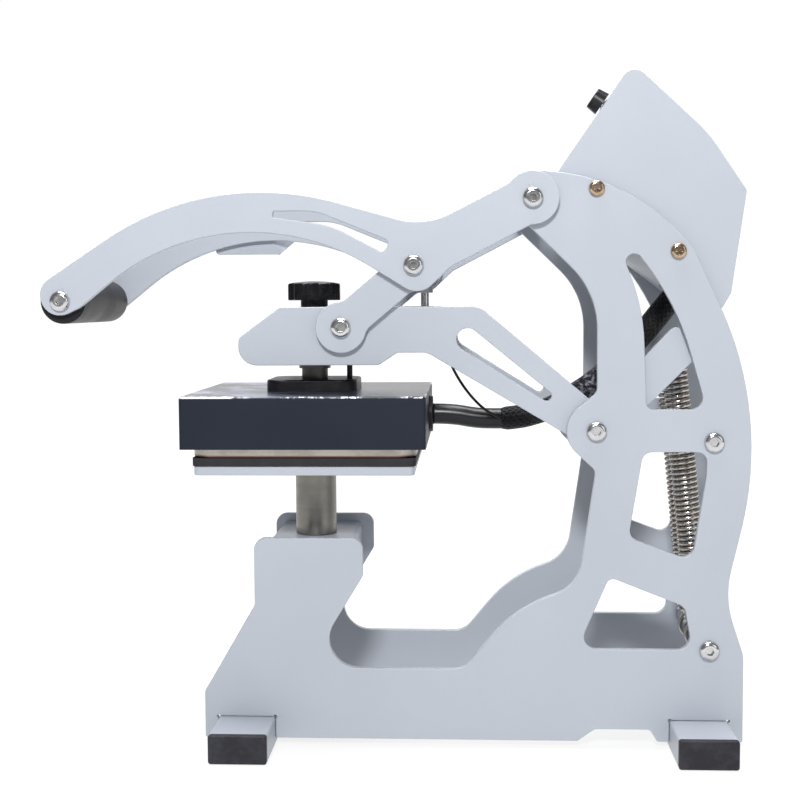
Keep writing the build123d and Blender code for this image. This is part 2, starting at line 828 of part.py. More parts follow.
def closing_sensor():
    """Small switch on the rear face of the stop plate. The thin wire leaves its lower face."""
    x, y, z = sensor_size
    low = wire_route[0][2]
    body = block((stop_plate_rear + weld_gap, -y / 2, low), (stop_plate_rear + weld_gap + x, y / 2, low + z))
    return fillet(body.edges().filter_by(Axis.Z), 1.0)


def pressure_screw():
    foot = upright(press_x, 0, housing_top + 0.4, housing_top + 0.4 + screw_foot_h, screw_foot_r)
    shaft = upright(press_x, 0, housing_top + 0.4, knob_hub_bottom, screw_r)
    tip = upright(press_x, 0, knob_hub_bottom, knob_bottom + 6, screw_tip_r)
    return foot + shaft + tip


def pressure_knob():
    """Lobed star knob with a domed top."""
    star = Circle(knob_r)
    for index in range(knob_lobes):
        angle = 360 * (index + 0.5) / knob_lobes
        star -= Rot(0, 0, angle) * Pos(knob_r + knob_scallop_r * 0.55, 0) * Circle(knob_scallop_r)
    star = fillet(star.vertices(), 2.5)
    head = extrude(star, amount=knob_top - knob_bottom)
    head &= Pos(0, 0, knob_top - knob_bottom - knob_dome_r) * Sphere(knob_dome_r)
    head = fillet(head.faces().sort_by(Axis.Z)[-1].edges(), knob_edge_r)
    head = fillet(head.faces().sort_by(Axis.Z)[0].edges(), 0.8)
    body = Pos(press_x, 0, knob_bottom) * head
    body += upright(press_x, 0, knob_hub_bottom, knob_bottom, knob_hub_r)
    return body - upright(press_x, 0, knob_hub_bottom - 1, knob_bottom + 6, screw_tip_r)


def platen_housing():
    """Folded sheet cover, open below, with the cable hole in its rear wall."""
    body = sheet_block(press_x, housing_size, housing_size, housing_bottom, housing_top, 2.5)
    body = fillet(body.faces().sort_by(Axis.Z)[-1].edges(), 1.4)
    inner = housing_size - 2 * housing_wall
    body -= sheet_block(press_x, inner, inner, housing_bottom - 1, housing_top - housing_wall, 1.2)
    wall_x = press_x + housing_size / 2
    return body - Pos(wall_x, 0, gland_z) * Rot(0, 90, 0) * Cylinder(gland_thread_r + running, 12)


def element_path():
    low = lower_platen_top + pad_thick + seat_gap
    level = low + heating_thick - element_r - 1
    left = press_x - 20
    right = left + element_straight
    side = element_turn_r
    path = Line((right, -side, level), (left, -side, level))
    path += ThreePointArc((left, -side, level), (left - side, 0, level), (left, side, level))
    path += Line((left, side, level), (right, side, level))
    return path


def element_tube(radius):
    path = element_path()
    start = path @ 0
    return sweep(Plane(origin=start, z_dir=(-1, 0, 0)) * Circle(radius), path=path)


def heating_plate():
    """Aluminium plate with the channel that holds the heating element."""
    low = lower_platen_top + pad_thick + seat_gap
    body = sheet_block(press_x, heating_size, heating_size, low, low + heating_thick, heating_corner_r)
    body = fillet(body.faces().sort_by(Axis.Z)[0].edges(), 1.0)
    groove_top = element_path() @ 0
    body -= element_tube(element_r + element_gap)
    path = element_path()
    section = Plane(origin=path @ 0, z_dir=(-1, 0, 0)) * Rectangle(2 * element_r, 2 * element_r)
    body -= Pos(0, 0, element_r) * sweep(section, path=path)
    exit_slot = block(
        (groove_top.X - 1, -element_turn_r - element_r, groove_top.Z - element_r),
        (groove_top.X + 14, -element_turn_r + element_r, low + heating_thick + 1),
    )
    return body - exit_slot - mirror(exit_slot, about=Plane.XZ)


def heating_element():
    return element_tube(element_r)


def platen_insulation():
    low = lower_platen_top + pad_thick + seat_gap + heating_thick
    top = housing_top - housing_wall
    return sheet_block(press_x, 150.0, 150.0, low + 0.1, top - 0.1, 6.0)


def swivel_block():
    """Black block on the housing that traps the foot of the pressure screw and holds the guide pin."""
    body = sheet_block(press_x, block_x, block_y, housing_top, block_top, block_corner_r)
    body = fillet(body.faces().sort_by(Axis.Z)[-1].edges(), 1.5)
    cavity_top = housing_top + 0.4 + screw_foot_h + 0.2
    body -= upright(press_x, 0, housing_top - 1, cavity_top, screw_foot_r + 0.2)
    body -= upright(press_x, 0, housing_top - 1, block_top + 1, screw_r + running)
    return body - upright(guide_pin_x, 0, housing_top + 0.5, block_top + 1, guide_pin_r)


def guide_pin():
    pin = upright(guide_pin_x, 0, housing_top + 0.6, guide_pin_top, guide_pin_r)
    return chamfer(pin.faces().sort_by(Axis.Z)[-1].edges(), 0.6)


def cable_gland():
    """Round gland in the rear wall of the housing with its nut inside."""
    wall = press_x + housing_size / 2
    turn = Rot(0, 90, 0)
    flange = Cylinder(gland_r, gland_flange, align=(Align.CENTER, Align.CENTER, Align.MIN))
    flange = fillet(flange.faces().sort_by(Axis.Z)[-1].edges(), 0.8)
    neck = Cylinder(gland_thread_r, housing_wall + 4, align=(Align.CENTER, Align.CENTER, Align.MAX))
    nut = Pos(0, 0, -housing_wall - 3.2) * extrude(RegularPolygon(12.0, 6), amount=3.1)
    nut -= Cylinder(gland_thread_r, 30)
    return [Pos(wall, 0, gland_z) * turn * (flange + neck), Pos(wall, 0, gland_z) * turn * nut]


def handle_face():
    outline = [
        *around(grip, handle_tip_r, 190.9, 177.9),
        (-176.0, 402.1, 193.0),
        (-30.7, 361.1, 49.6),
        (26.3, 389.9, 4.0),
        *around(pivot_a, handle_eye_r, 50.0, 224.5),
        (40.6, 361.8, 4.0),
        (-13.2, 334.0, 12.0),
        (-34.6, 313.7, 15.0),
        (-162.0, 393.4, 156.6),
        (-268.7, 307.4, 5.0),
    ]
    slot = [
        (-134.4, 368.2, 1.4),
        (-133.9, 372.4, 1.4),
        (-105.0, 372.4, 45.0),
        (-54.4, 351.6, 3.9),
        (-58.6, 343.2, 3.9),
        (-95.0, 362.6, 55.0),
    ]
    return rounded(outline) - rounded(slot)


def handle_plate(side):
    body = soften(slab(handle_face(), *span(side, handle_inner, handle_outer)))
    body -= rod(pivot_a, pivot_bolt_r + running, -frame_width, frame_width)
    for place in (pivot_b, grip):
        body -= rod(place, bolt_r, -frame_width, frame_width)
    return body


def handle_grip():
    half = handle_inner - weld_gap
    body = rod(grip, grip_r, -half, half)
    body = fillet(body.edges().filter_by(GeomType.CIRCLE), 1.5)
    return body - rod(grip, bolt_r, -half - 1, half + 1)


def grip_bolts():
    return [button_bolt(grip, side, handle_outer, bolt_r - 0.01, plate + 20) for side in (-1, 1)]


def handle_cross_tube():
    """Tube between the links. Its narrow ends carry the links and meet the handle plates."""
    half = handle_inner - weld_gap
    shoulder = frame_inner - arm_gap
    body = rod(pivot_b, link_bush_r() - running, -half, half)
    body += rod(pivot_b, handle_tube_r, -shoulder, shoulder)
    return body - rod(pivot_b, bolt_r, -half - 1, half + 1)


def link_bush_r():
    return bolt_r + 2.5


def cross_tube_bolts():
    return [button_bolt(pivot_b, side, handle_outer, bolt_r - 0.01, plate + 20) for side in (-1, 1)]


def handle_tab():
    """Folded sheet tab on the outer face of the far handle plate."""
    fold_foot = Vector(-147.2, 0, 347.8)
    fold_top = Vector(-158.0, 0, 371.7)
    panel = rounded([
        (-197.2, 347.8, 3.0),
        (-197.2, 366.0, 3.0),
        (fold_top.X, fold_top.Z, 0.0),
        (fold_foot.X, fold_foot.Z, 0.0),
    ])
    low = handle_outer + weld_gap
    body = slab(panel, low, low + tab_thick)
    along = (fold_top - fold_foot).normalized()
    bend = math.radians(tab_bend)
    across = Vector(along.Z * math.cos(bend), math.sin(bend), -along.X * math.cos(bend))
    wing_plane = Plane(origin=fold_foot + Vector(0, low, 0), x_dir=across, z_dir=across.cross(along))
    wing = Polygon((0, 0), (17, 5), (19, 16), (6, 26), (0, 26), align=None)
    wing_solid = extrude(wing_plane * wing, amount=-tab_thick)
    return body + wing_solid


def link_plate(side):
    """Flat bar with two round eyes, blended into its waist."""
    waist = link_width / 2
    heading = math.degrees(math.atan2(pivot_b[1] - pivot_c[1], pivot_b[0] - pivot_c[0]))
    length = math.hypot(pivot_b[0] - pivot_c[0], pivot_b[1] - pivot_c[1])
    lean = math.asin((waist + link_blend_r) / (link_eye_r + link_blend_r))
    flare = math.pi / 2 - lean
    run = (link_eye_r * math.sin(lean) - waist) / math.sin(flare)
    neck = link_eye_r * math.cos(lean) + run * math.cos(flare)
    turn = 180 + 2 * math.degrees(flare)
    outline = [
        *around((0, 0), link_eye_r, 180 + math.degrees(flare), turn),
        (neck, waist, link_blend_r),
        (length - neck, waist, link_blend_r),
        *around((length, 0), link_eye_r, math.degrees(flare), turn),
        (length - neck, -waist, link_blend_r),
        (neck, -waist, link_blend_r),
    ]
    face = Pos(*pivot_c) * Rot(0, 0, heading) * rounded(outline)
    body = soften(slab(face, *span(side, frame_inner, frame_outer)))
    body -= rod(pivot_b, link_bush_r(), -frame_width, frame_width)
    return body - rod(pivot_c, bolt_r, -frame_width, frame_width)


def link_end_bolts():
    """Bolts at the links' lower eyes. They end just short of the arm plates, where the linkage is opened."""
    length = plate + arm_gap - seat_gap
    return [button_bolt(pivot_c, side, frame_outer, bolt_r - 0.01, length) for side in (-1, 1)]


def biarc(start, start_way, end, end_way):
    """Two arcs that leave and arrive along the given ways, meeting smoothly between."""
    gap = end - start
    both = start_way + end_way
    spread = 2 * (1 - start_way.dot(end_way))
    lean = gap.dot(both)
    reach = (math.sqrt(lean * lean + spread * gap.dot(gap)) - lean) / spread
    middle = (start + end + (start_way - end_way) * reach) * 0.5
    return [
        Edge.make_tangent_arc(start, start_way, middle),
        Edge.make_tangent_arc(middle, (end - end_way * reach - middle).normalized(), end),
    ]


def spring_stations(length):
    """Points and directions along one spring whose two hook centres lie on local Z, length apart."""
    coil_low = spring_hook_r + spring_lead_in
    coil_high = length - coil_low
    pitch = (coil_high - coil_low) / spring_turns
    rise = math.atan2(pitch, 2 * math.pi * spring_coil_r)
    stations = []
    straight = 2 * spring_wire_r

    def hook(centre, up, angle):
        """A place on a hook ring, measured from the side where it joins the coil."""
        turn = math.radians(angle)
        place = Vector(spring_hook_r * math.cos(turn), 0, centre + up * spring_hook_r * math.sin(turn))
        way = Vector(-math.sin(turn), 0, up * math.cos(turn))
        return place, way

    place, way = hook(0, -1, hook_sweep)
    stations.append((place + way * straight, way * -1))
    for angle in (hook_sweep, hook_sweep / 2, 0):
        place, way = hook(0, -1, angle)
        stations.append((place, way * -1))
    for index in range(2 * spring_turns + 1):
        angle = math.pi * index + math.pi / 2
        place = Vector(
            spring_coil_r * math.cos(angle), spring_coil_r * math.sin(angle), coil_low + pitch * index / 2
        )
        way = Vector(-math.sin(angle) * math.cos(rise), math.cos(angle) * math.cos(rise), math.sin(rise))
        stations.append((place, way))
    for angle in (0, hook_sweep / 2, hook_sweep):
        place, way = hook(length, 1, angle)
        stations.append((Vector(-place.X, 0, place.Z), Vector(-way.X, 0, way.Z)))
    place, way = stations[-1]
    stations.append((place + way * straight, way))
    return stations


def spring_wire(length):
    """One unbroken wire: hook, coil and hook."""
    stations = spring_stations(length)
    edges = [Edge.make_line(stations[0][0], stations[1][0])]
    for (start, start_way), (end, end_way) in zip(stations[1:-2], stations[2:-1]):
        edges.extend(biarc(start, start_way, end, end_way))
    edges.append(Edge.make_line(stations[-2][0], stations[-1][0]))
    start = stations[0][0]
    path = Wire(edges)
    report_spring_gap(edges)
    across = Plane(origin=start, z_dir=(stations[1][0] - start).normalized())
    return sweep(across * Circle(spring_wire_r), path=path)


def report_spring_gap(edges):
    """Prints the least gap between parts of the wire that are more than a quarter turn apart."""
    places = []
    travelled = 0.0
    for edge in edges:
        steps = max(2, round(edge.length / 1.2))
        for step in range(steps):
            places.append((travelled + edge.length * step / steps, edge.position_at(step / steps)))
        travelled += edge.length
    apart = math.pi * spring_coil_r / 2 + 2 * spring_wire_r
    window = 2.5 * 2 * math.pi * spring_coil_r
    least = math.inf
    for index, (way, place) in enumerate(places):
        for other_way, other in places[index + 1:]:
            if other_way - way > window:
                break
            if other_way - way > apart:
                least = min(least, (other - place).length)
    print("least gap between spring turns", round(least - 2 * spring_wire_r, 2))


def return_springs():
    """Two tension springs from the lower rod to the bar between the rear levers."""
    bottom_slack = spring_hook_r - spring_wire_r - rod_r - 0.2
    top_slack = spring_hook_r - spring_wire_r - spring_bar_r - 0.2
    low = Vector(lower_rod[0], 0, lower_rod[1])
    high = Vector(spring_bar[0], 0, spring_bar[1])
    along = (high - low).normalized()
    low += along * bottom_slack
    high -= along * top_slack
    wire = spring_wire((high - low).length)
    springs = []
    for y in (-spring_offset, spring_offset):
        place = Plane(origin=low + Vector(0, y, 0), x_dir=(along.Z, 0, -along.X), z_dir=along)
        springs.append(place * wire)
    return springs


def route_tube(name, route, radius):
    """A round cable along a route: straight runs joined by arcs as large as the runs allow."""
    points = [Vector(*place) for place in route]
    radii = []
    runs = [(b - a).length for a, b in zip(points, points[1:])]
    for index in range(1, len(points) - 1):
        turn = math.radians((points[index] - points[index - 1]).get_angle(points[index + 1] - points[index]))
        radii.append(0.45 * min(runs[index - 1], runs[index]) / math.tan(turn / 2))
    path = FilletPolyline(*points, radius=radii)
    section = Plane(origin=path @ 0, z_dir=path % 0) * Circle(radius)
    body = sweep(section, path=path)
    print(name, "runs", [round(run, 1) for run in runs], "radii", [round(value) for value in radii])
    ratio = body.volume / (math.pi * radius**2 * path.length)
    print(name, "length", round(path.length, 1), "volume ratio", round(ratio, 4))
    return body


def heater_cable():
    """From the platen's gland to the start of the sleeve."""
    gland_face = press_x + housing_size / 2 + gland_flange
    return route_tube("heater_cable", [(gland_face + x, y, z) for x, y, z in heater_route], cable_r)


def cable_sleeve():
    """Sleeved run of the cable, through the frame to the bushing in the floor of the control box."""
    entry = floor_plane()
    end = entry.origin + entry.z_dir * (bushing_flange + sleeve_gap)
    before = end + entry.z_dir * 24
    route = sleeve_route + [(before.X, before.Y, before.Z), (end.X, end.Y, end.Z)]
    return route_tube("cable_sleeve", route, sleeve_r)


def switch_wire():
    return route_tube("switch_wire", wire_route, wire_r)


NEAR = -1
FAR = 1

pieces = {
    "frame_plate_near": frame_plate(NEAR),
    "frame_plate_far": frame_plate(FAR),
    "foot_tubes": foot_tubes(),
    "foot_caps": foot_caps(),
    "post_mount": post_mount(),
    "press_post": press_post(),
    "post_bolt": post_bolt(),
    "lower_platen": lower_platen(),
    "silicone_pad": silicone_pad(),
    "lower_tie_rod": lower_tie_rod(),
    "lever_stops": lever_stops(),
    "frame_bolts": frame_bolts(),
    "handle_pivot_tube": handle_pivot_tube(),
    "handle_pivot_bolts": handle_pivot_bolts(),
    "arm_pivot_shaft": arm_pivot_shaft(),
    "box_screws": box_screws(),
    "control_box_shell": control_box_shell(),
    "control_box_cover": control_box_cover(),
    "cover_screws": cover_screws(),
    "controller_bezel": controller_bezel(),
    "controller_window": controller_window(),
    "controller_board": controller_board(),
    "dial_bush": dial_bush(),
    "dial_shaft": dial_shaft(),
    "panel_dial": panel_dial(),
    "power_switch_frame": power_switch_frame(),
    "power_rocker": power_rocker(),
    "mains_inlet": mains_inlet(),
    "cable_bushing": cable_bushing(),
    "arm_plate_near": arm_plate(NEAR),
    "arm_plate_far": arm_plate(FAR),
    "nut_block": nut_block(),
    "arm_cross_tube": arm_cross_tube(),
    "lever_spring_bar": lever_spring_bar(),
    "stop_plate": stop_plate(),
    "stop_screw": stop_screw(),
    "closing_sensor": closing_sensor(),
    "pressure_screw": pressure_screw(),
    "pressure_knob": pressure_knob(),
    "platen_housing": platen_housing(),
    "heating_plate": heating_plate(),
    "heating_element": heating_element(),
    "platen_insulation": platen_insulation(),
    "swivel_block": swivel_block(),
    "guide_pin": guide_pin(),
    "cable_gland": cable_gland(),
    "handle_plate_near": handle_plate(NEAR),
    "handle_plate_far": handle_plate(FAR),
    "handle_grip": handle_grip(),
    "grip_bolts": grip_bolts(),
    "handle_cross_tube": handle_cross_tube(),
    "cross_tube_bolts": cross_tube_bolts(),
    "handle_tab": handle_tab(),
    "link_plate_near": link_plate(NEAR),
    "link_plate_far": link_plate(FAR),
    "link_end_bolts": link_end_bolts(),
    "return_springs": return_springs(),
    "heater_cable": heater_cable(),
    "cable_sleeve": cable_sleeve(),
    "switch_wire": switch_wire(),
}


def as_one(piece):
    """A group of separate solids becomes one compound."""
    solids = []
    for body in piece if isinstance(piece, list) else [piece]:
        solids.extend(body.solids())
    return solids[0] if len(solids) == 1 else Compound(children=solids)


shapes = {name: as_one(piece) for name, piece in pieces.items()}
whole = [shape.bounding_box() for shape in shapes.values()]
middle_x = (min(box.min.X for box in whole) + max(box.max.X for box in whole)) / 2
print("origin moved along X by", round(-middle_x, 3))
os.makedirs("parts", exist_ok=True)
for name, shape in shapes.items():
    export_step(Pos(-middle_x, 0, 0) * shape, f"parts/{name}.step")
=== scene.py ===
import math

import bmesh
import bpy
from bpy.props import FloatProperty, FloatVectorProperty, PointerProperty
from mathutils import Matrix, Vector


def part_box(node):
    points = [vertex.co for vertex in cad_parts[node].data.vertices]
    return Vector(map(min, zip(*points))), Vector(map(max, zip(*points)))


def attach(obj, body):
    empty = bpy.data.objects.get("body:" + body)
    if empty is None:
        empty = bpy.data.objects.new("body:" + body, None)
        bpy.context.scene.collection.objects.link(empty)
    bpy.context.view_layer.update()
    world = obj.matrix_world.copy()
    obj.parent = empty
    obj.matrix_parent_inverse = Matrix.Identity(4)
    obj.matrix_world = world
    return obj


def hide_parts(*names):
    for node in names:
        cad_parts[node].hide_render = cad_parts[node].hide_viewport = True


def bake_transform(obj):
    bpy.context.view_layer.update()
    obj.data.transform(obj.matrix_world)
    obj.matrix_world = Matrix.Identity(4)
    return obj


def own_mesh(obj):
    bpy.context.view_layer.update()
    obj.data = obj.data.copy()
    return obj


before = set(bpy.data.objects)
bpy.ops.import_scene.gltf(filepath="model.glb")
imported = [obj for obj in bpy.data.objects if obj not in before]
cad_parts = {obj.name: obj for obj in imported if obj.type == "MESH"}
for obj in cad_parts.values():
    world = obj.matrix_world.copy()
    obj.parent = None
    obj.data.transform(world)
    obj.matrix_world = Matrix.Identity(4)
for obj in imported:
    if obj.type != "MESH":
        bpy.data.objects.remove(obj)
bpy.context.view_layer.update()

bl_info = {
    "name": "Mini heat press",
    "version": (1, 0, 0),
    "blender": (4, 5, 0),
    "location": "3D View > Sidebar > Heat press",
    "description": "Finishes, springs, cables and studio of a small clamshell heat press",
    "category": "Object",
}

MM = 0.001
SOFT_EDGE = math.radians(28)
BEVEL_SAMPLES = 4
CURVE_STEPS = 16


def feet_middle():
    """The point on the table midway between the two feet, from which routes and camera are measured."""
    low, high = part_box("foot_tubes")
    return Vector(((low.x + high.x) / 2, 0, 0))


def from_feet(x, y, z):
    """A point given in millimetres from the middle between the feet."""
    return feet_middle() + Vector((x, y, z)) * MM


def colour(label, about, value):
    return FloatVectorProperty(
        name=label, description=about, subtype="COLOR", size=3, min=0, max=1, default=value
    )


def length(label, about, value):
    return FloatProperty(name=label, description=about, unit="LENGTH", min=0, default=value)


class HeatPressColours(bpy.types.PropertyGroup):
    coat: colour("Powder coat", "Light coat of frame, arms and control box", (0.376, 0.404, 0.454))
    enamel: colour("Enamel", "Dark enamel of the platen housing", (0.010, 0.0135, 0.023))
    zinc: colour("Zinc", "Plated bolts and rods", (0.58, 0.58, 0.59))
    yellow: colour("Yellow zinc", "Passivated screws of the control box", (0.48, 0.35, 0.23))
    stainless: colour("Stainless", "Drawn tube of the post", (0.21, 0.20, 0.18))
    screw: colour("Pressure screw", "Oiled dark steel", (0.120, 0.115, 0.112))
    spring: colour("Spring wire", "Plated spring wire", (0.50, 0.49, 0.48))
    aluminium: colour("Aluminium", "Face and rim of the heating plate", (0.56, 0.52, 0.47))
    silicone: colour("Silicone", "Pad on the lower platen", (0.010, 0.010, 0.012))
    black: colour("Black plastic", "Knobs, caps and grip", (0.007, 0.007, 0.009))
    board: colour("Circuit board", "Solder mask", (0.02, 0.12, 0.06))
    mat: colour("Insulation", "Mineral fibre mat", (0.60, 0.57, 0.48))
    floor: colour("Floor", "Studio floor", (0.15, 0.15, 0.15))
    dark_steel: colour("Dark steel", "Bare lower boss of the nut block", (0.10, 0.10, 0.105))
    # Bright colour of the housing's top edges: bare metal where worn, and a painted highlight.
    worn_edge_and_highlight: colour("Worn edge", "Metal where the enamel is rubbed through", (0.80, 0.82, 0.88))
    scuff: colour("Scuffs", "Dusty scuffs on top of the housing", (0.30, 0.32, 0.46))
    scorch: colour("Scorch", "Browned lower edge of the heating plate", (0.13, 0.05, 0.035))
    warm_yellow: colour("Yellow zinc glint", "Lighter tone of the yellow zinc", (0.60, 0.47, 0.36))
    # Painted warm reflection on the spring wire, laid in random patches.
    wire_glint: colour("Wire glint", "Warmer tone of the spring wire", (0.54, 0.48, 0.43))
    pane: colour("Display pane", "Tinted pane of the display", (0.006, 0.012, 0.012))
    smear: colour("Finger marks", "Smears on the display pane", (0.02, 0.03, 0.03))
    jacket_scuff: colour("Jacket scuffs", "Pale scuffs on the cable jacket", (0.05, 0.05, 0.055))
    yarn: colour("Worn yarn", "Raised strands of the braided sleeve", (0.05, 0.05, 0.055))
    fray: colour("Frayed yarn", "Pale fibres of the sleeve beside the pivot", (0.26, 0.26, 0.33))


class HeatPressSizes(bpy.types.PropertyGroup):
    wire: length("Spring wire radius", "Half the thickness of the spring wire", 0.0016)
    coil: length("Coil radius", "From the spring's axis to the middle of its wire", 0.0077)
    hook: length("Hook radius", "From the hook's centre to the middle of its wire", 0.0086)
    lead: length("Hook lead", "Straight way between hook and coil", 0.003)
    offset: length("Spring offset", "From the middle plane to a spring's axis", 0.014)
    cable: length("Cable radius", "Half the thickness of the heater cable", 0.0075)
    sleeve: length("Sleeve radius", "Half the thickness of the braided sleeve", 0.0086)
    thin: length("Wire radius", "Half the thickness of the switch wire", 0.001)
    lens: FloatProperty(name="Lens", description="Focal length in millimetres", default=60.03, min=1)


def colours():
    return bpy.context.scene.heat_press_colours


def sizes():
    return bpy.context.scene.heat_press_sizes


# Shader graphs


class Graph:
    """A material's node tree with short words for the nodes that the finishes share."""

    def __init__(self, name):
        self.material = bpy.data.materials.new(name)
        self.material.use_nodes = True
        self.tree = self.material.node_tree
        self.shader = self.tree.nodes["Principled BSDF"]
        self.place = self.add("ShaderNodeTexCoord").outputs["Object"]

    def add(self, kind, **settings):
        node = self.tree.nodes.new(kind)
        for key, value in settings.items():
            setattr(node, key, value)
        return node

    def link(self, source, target):
        self.tree.links.new(source, target)

    def put(self, target, value):
        """Joins a socket to another, or sets its value."""
        if isinstance(value, bpy.types.NodeSocket):
            self.link(value, target)
        else:
            target.default_value = value

    def set(self, **values):
        """Shader inputs by name, with underscores for spaces."""
        for key, value in values.items():
            self.put(self.shader.inputs[key.replace("_", " ")], value)

    def stretched(self, x, y, z, source=None):
        node = self.add("ShaderNodeMapping")
        self.link(source or self.place, node.inputs["Vector"])
        node.inputs["Scale"].default_value = (x, y, z)
        return node.outputs["Vector"]

    def noise(self, scale, detail=3.0, rough=0.5, source=None):
        node = self.add("ShaderNodeTexNoise")
        self.link(source or self.place, node.inputs["Vector"])
        node.inputs["Scale"].default_value = scale
        node.inputs["Detail"].default_value = detail
        node.inputs["Roughness"].default_value = rough
        return node.outputs["Fac"]

    def cells(self, scale, source=None, feature="F1"):
        node = self.add("ShaderNodeTexVoronoi", feature=feature)
        self.link(source or self.place, node.inputs["Vector"])
        node.inputs["Scale"].default_value = scale
        return node.outputs["Distance"]

    def span(self, value, low, high, to_low=0.0, to_high=1.0):
        node = self.add("ShaderNodeMapRange", clamp=True)
        self.put(node.inputs["Value"], value)
        for key, number in (("From Min", low), ("From Max", high), ("To Min", to_low), ("To Max", to_high)):
            node.inputs[key].default_value = number
        return node.outputs["Result"]

    def math(self, operation, a, b=0.0):
        node = self.add("ShaderNodeMath", operation=operation)
        self.put(node.inputs[0], a)
        self.put(node.inputs[1], b)
        return node.outputs[0]

    def blend(self, factor, first, second):
        """Mixes two colours, each three numbers or a socket."""
        node = self.add("ShaderNodeMix", data_type="RGBA")
        self.put(node.inputs["Factor"], factor)
        for socket, value in ((node.inputs["A"], first), (node.inputs["B"], second)):
            self.put(socket, (*value, 1.0) if isinstance(value, tuple) else value)
        return node.outputs["Result"]

    def axes(self):
        node = self.add("ShaderNodeSeparateXYZ")
        self.link(self.place, node.inputs[0])
        return node.outputs

    def round_edges(self, radius):
        node = self.add("ShaderNodeBevel", samples=BEVEL_SAMPLES)
        node.inputs["Radius"].default_value = radius
        return node.outputs["Normal"]

    def bump(self, height, distance, strength=1.0, edge=None):
        node = self.add("ShaderNodeBump")
        self.put(node.inputs["Height"], height)
        node.inputs["Distance"].default_value = distance
        node.inputs["Strength"].default_value = strength
        if edge:
            self.link(edge, node.inputs["Normal"])
        self.link(node.outputs["Normal"], self.shader.inputs["Normal"])


def tint(value, factor):
    """A colour made lighter or darker."""
    return tuple(min(1.0, part * factor) for part in value[:3])


def clouded_coat(g):
    """The coat's colour with a faint cloudiness."""
    base = colours().coat
    cloud = g.span(g.noise(9, 4), 0.3, 0.7)
    return g.blend(cloud, tint(base, 0.965), tint(base, 1.035))


def powder_coat():
    """Sprayed coat: faint cloudiness, orange peel and a few rubbed places."""
    g = Graph("powder_coat")
    shade = clouded_coat(g)
    speck = g.span(g.noise(1900, 1), 0.66, 0.74, 0.0, 0.35)
    rub = g.span(g.noise(40, 6, 0.65), 0.62, 0.8)
    g.set(
        Base_Color=g.blend(speck, shade, tint(colours().coat, 0.72)),
        Roughness=g.span(rub, 0, 1, 0.42, 0.33),
        Specular_IOR_Level=0.45,
        Coat_Weight=0.12,
        Coat_Roughness=0.25,
    )
    peel = g.math("ADD", g.noise(520, 2), g.math("MULTIPLY", g.noise(1700, 1), 0.35))
    g.bump(peel, 0.00005, 0.55, g.round_edges(0.0005))
    return g.material


def half_coated():
    """Coat on the nut block's plate and upper boss, bare dark steel on the boss below the plate."""
    g = Graph("half_coated")
    pin_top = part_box("guide_pin")[1].z
    height = g.axes()[2]
    ragged = g.math("ADD", height, g.math("MULTIPLY", g.noise(300, 3), 0.0006))
    bare = g.span(ragged, pin_top - 0.0078, pin_top - 0.0074, 1.0, 0.0)
    g.set(
        Base_Color=g.blend(bare, clouded_coat(g), tuple(colours().dark_steel)),
        Metallic=g.math("MULTIPLY", bare, 0.9),
        Roughness=g.span(bare, 0, 1, 0.42, 0.34),
    )
    g.bump(g.noise(700, 2), 0.00003, 0.5, g.round_edges(0.0004))
    return g.material


def enamel():
    """Dark satin enamel, rubbed through to bright metal in places along the top edges of the housing, with
    a painted highlight in the same bright colour.
    """
    g = Graph("enamel")
    base = colours().enamel
    low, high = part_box("platen_housing")
    middle = (low + high) / 2
    half = (high - low) / 2
    x, y, z = g.axes()
    side_x = g.math("SUBTRACT", g.math("ABSOLUTE", g.math("SUBTRACT", x, middle.x)), half.x)
    side_y = g.math("SUBTRACT", g.math("ABSOLUTE", g.math("SUBTRACT", y, middle.y)), half.y)
    outer = g.math("MAXIMUM", side_x, side_y)
    top = g.math("SUBTRACT", z, high.z)
    # Bright top-edge colour, part wear and part painted highlight: a band at the front end and flecks
    # elsewhere along the top edges.
    near_edge = g.math("MINIMUM", g.span(outer, -0.0015, -0.0006), g.span(top, -0.0015, -0.0007))
    front = g.span(x, low.x + 0.038, low.x + 0.050, 1.0, 0.0)
    rubbed = g.math("MULTIPLY", front, g.span(g.noise(120), 0.3, 0.45))
    patches = g.span(g.noise(26, 5, 0.7), 0.44, 0.54)
    edge_flecks = g.math("MULTIPLY", patches, g.span(g.noise(420, 2), 0.48, 0.55))
    worn = g.math("MULTIPLY", near_edge, g.math("MAXIMUM", rubbed, edge_flecks))
    on_top = g.span(top, -0.0012, -0.0002)
    handled = g.span(x, low.x + 0.02, middle.x, 0.75, 0.12)
    scuffed = g.math("MULTIPLY", g.span(g.noise(30, 6, 0.7), 0.46, 0.62), handled)
    dust = g.math("MULTIPLY", on_top, scuffed)
    cloud = g.blend(g.span(g.noise(14, 4), 0.3, 0.7), tint(base, 0.9), tint(base, 1.15))
    dusty = g.blend(dust, cloud, tuple(colours().scuff))
    g.set(
        Base_Color=g.blend(worn, dusty, tuple(colours().worn_edge_and_highlight)),
        Metallic=g.math("MULTIPLY", worn, 0.3),
        Roughness=g.span(on_top, 0, 1, 0.46, 0.26),
        Specular_IOR_Level=g.span(on_top, 0, 1, 0.18, 0.42),
    )
    g.bump(g.noise(700, 2), 0.00002, 0.4, g.round_edges(0.0006))
    return g.material


def plated(name, base, rough=0.2, warm=None):
    """Plated steel: small changes of tone and gloss, and fine turning marks."""
    g = Graph(name)
    tone = g.span(g.noise(120, 3), 0.35, 0.65)
    g.set(
        # For the spring wire, warm is a painted warm reflection.
        Base_Color=g.blend(tone, tint(base, 0.92), warm or tint(base, 1.06)),
        Metallic=1.0,
        Roughness=g.span(g.noise(200, 3), 0.3, 0.7, rough, rough + 0.1),
    )
    g.bump(g.noise(900, 2), 0.00001, 0.3, g.round_edges(0.00025))
    return g.material


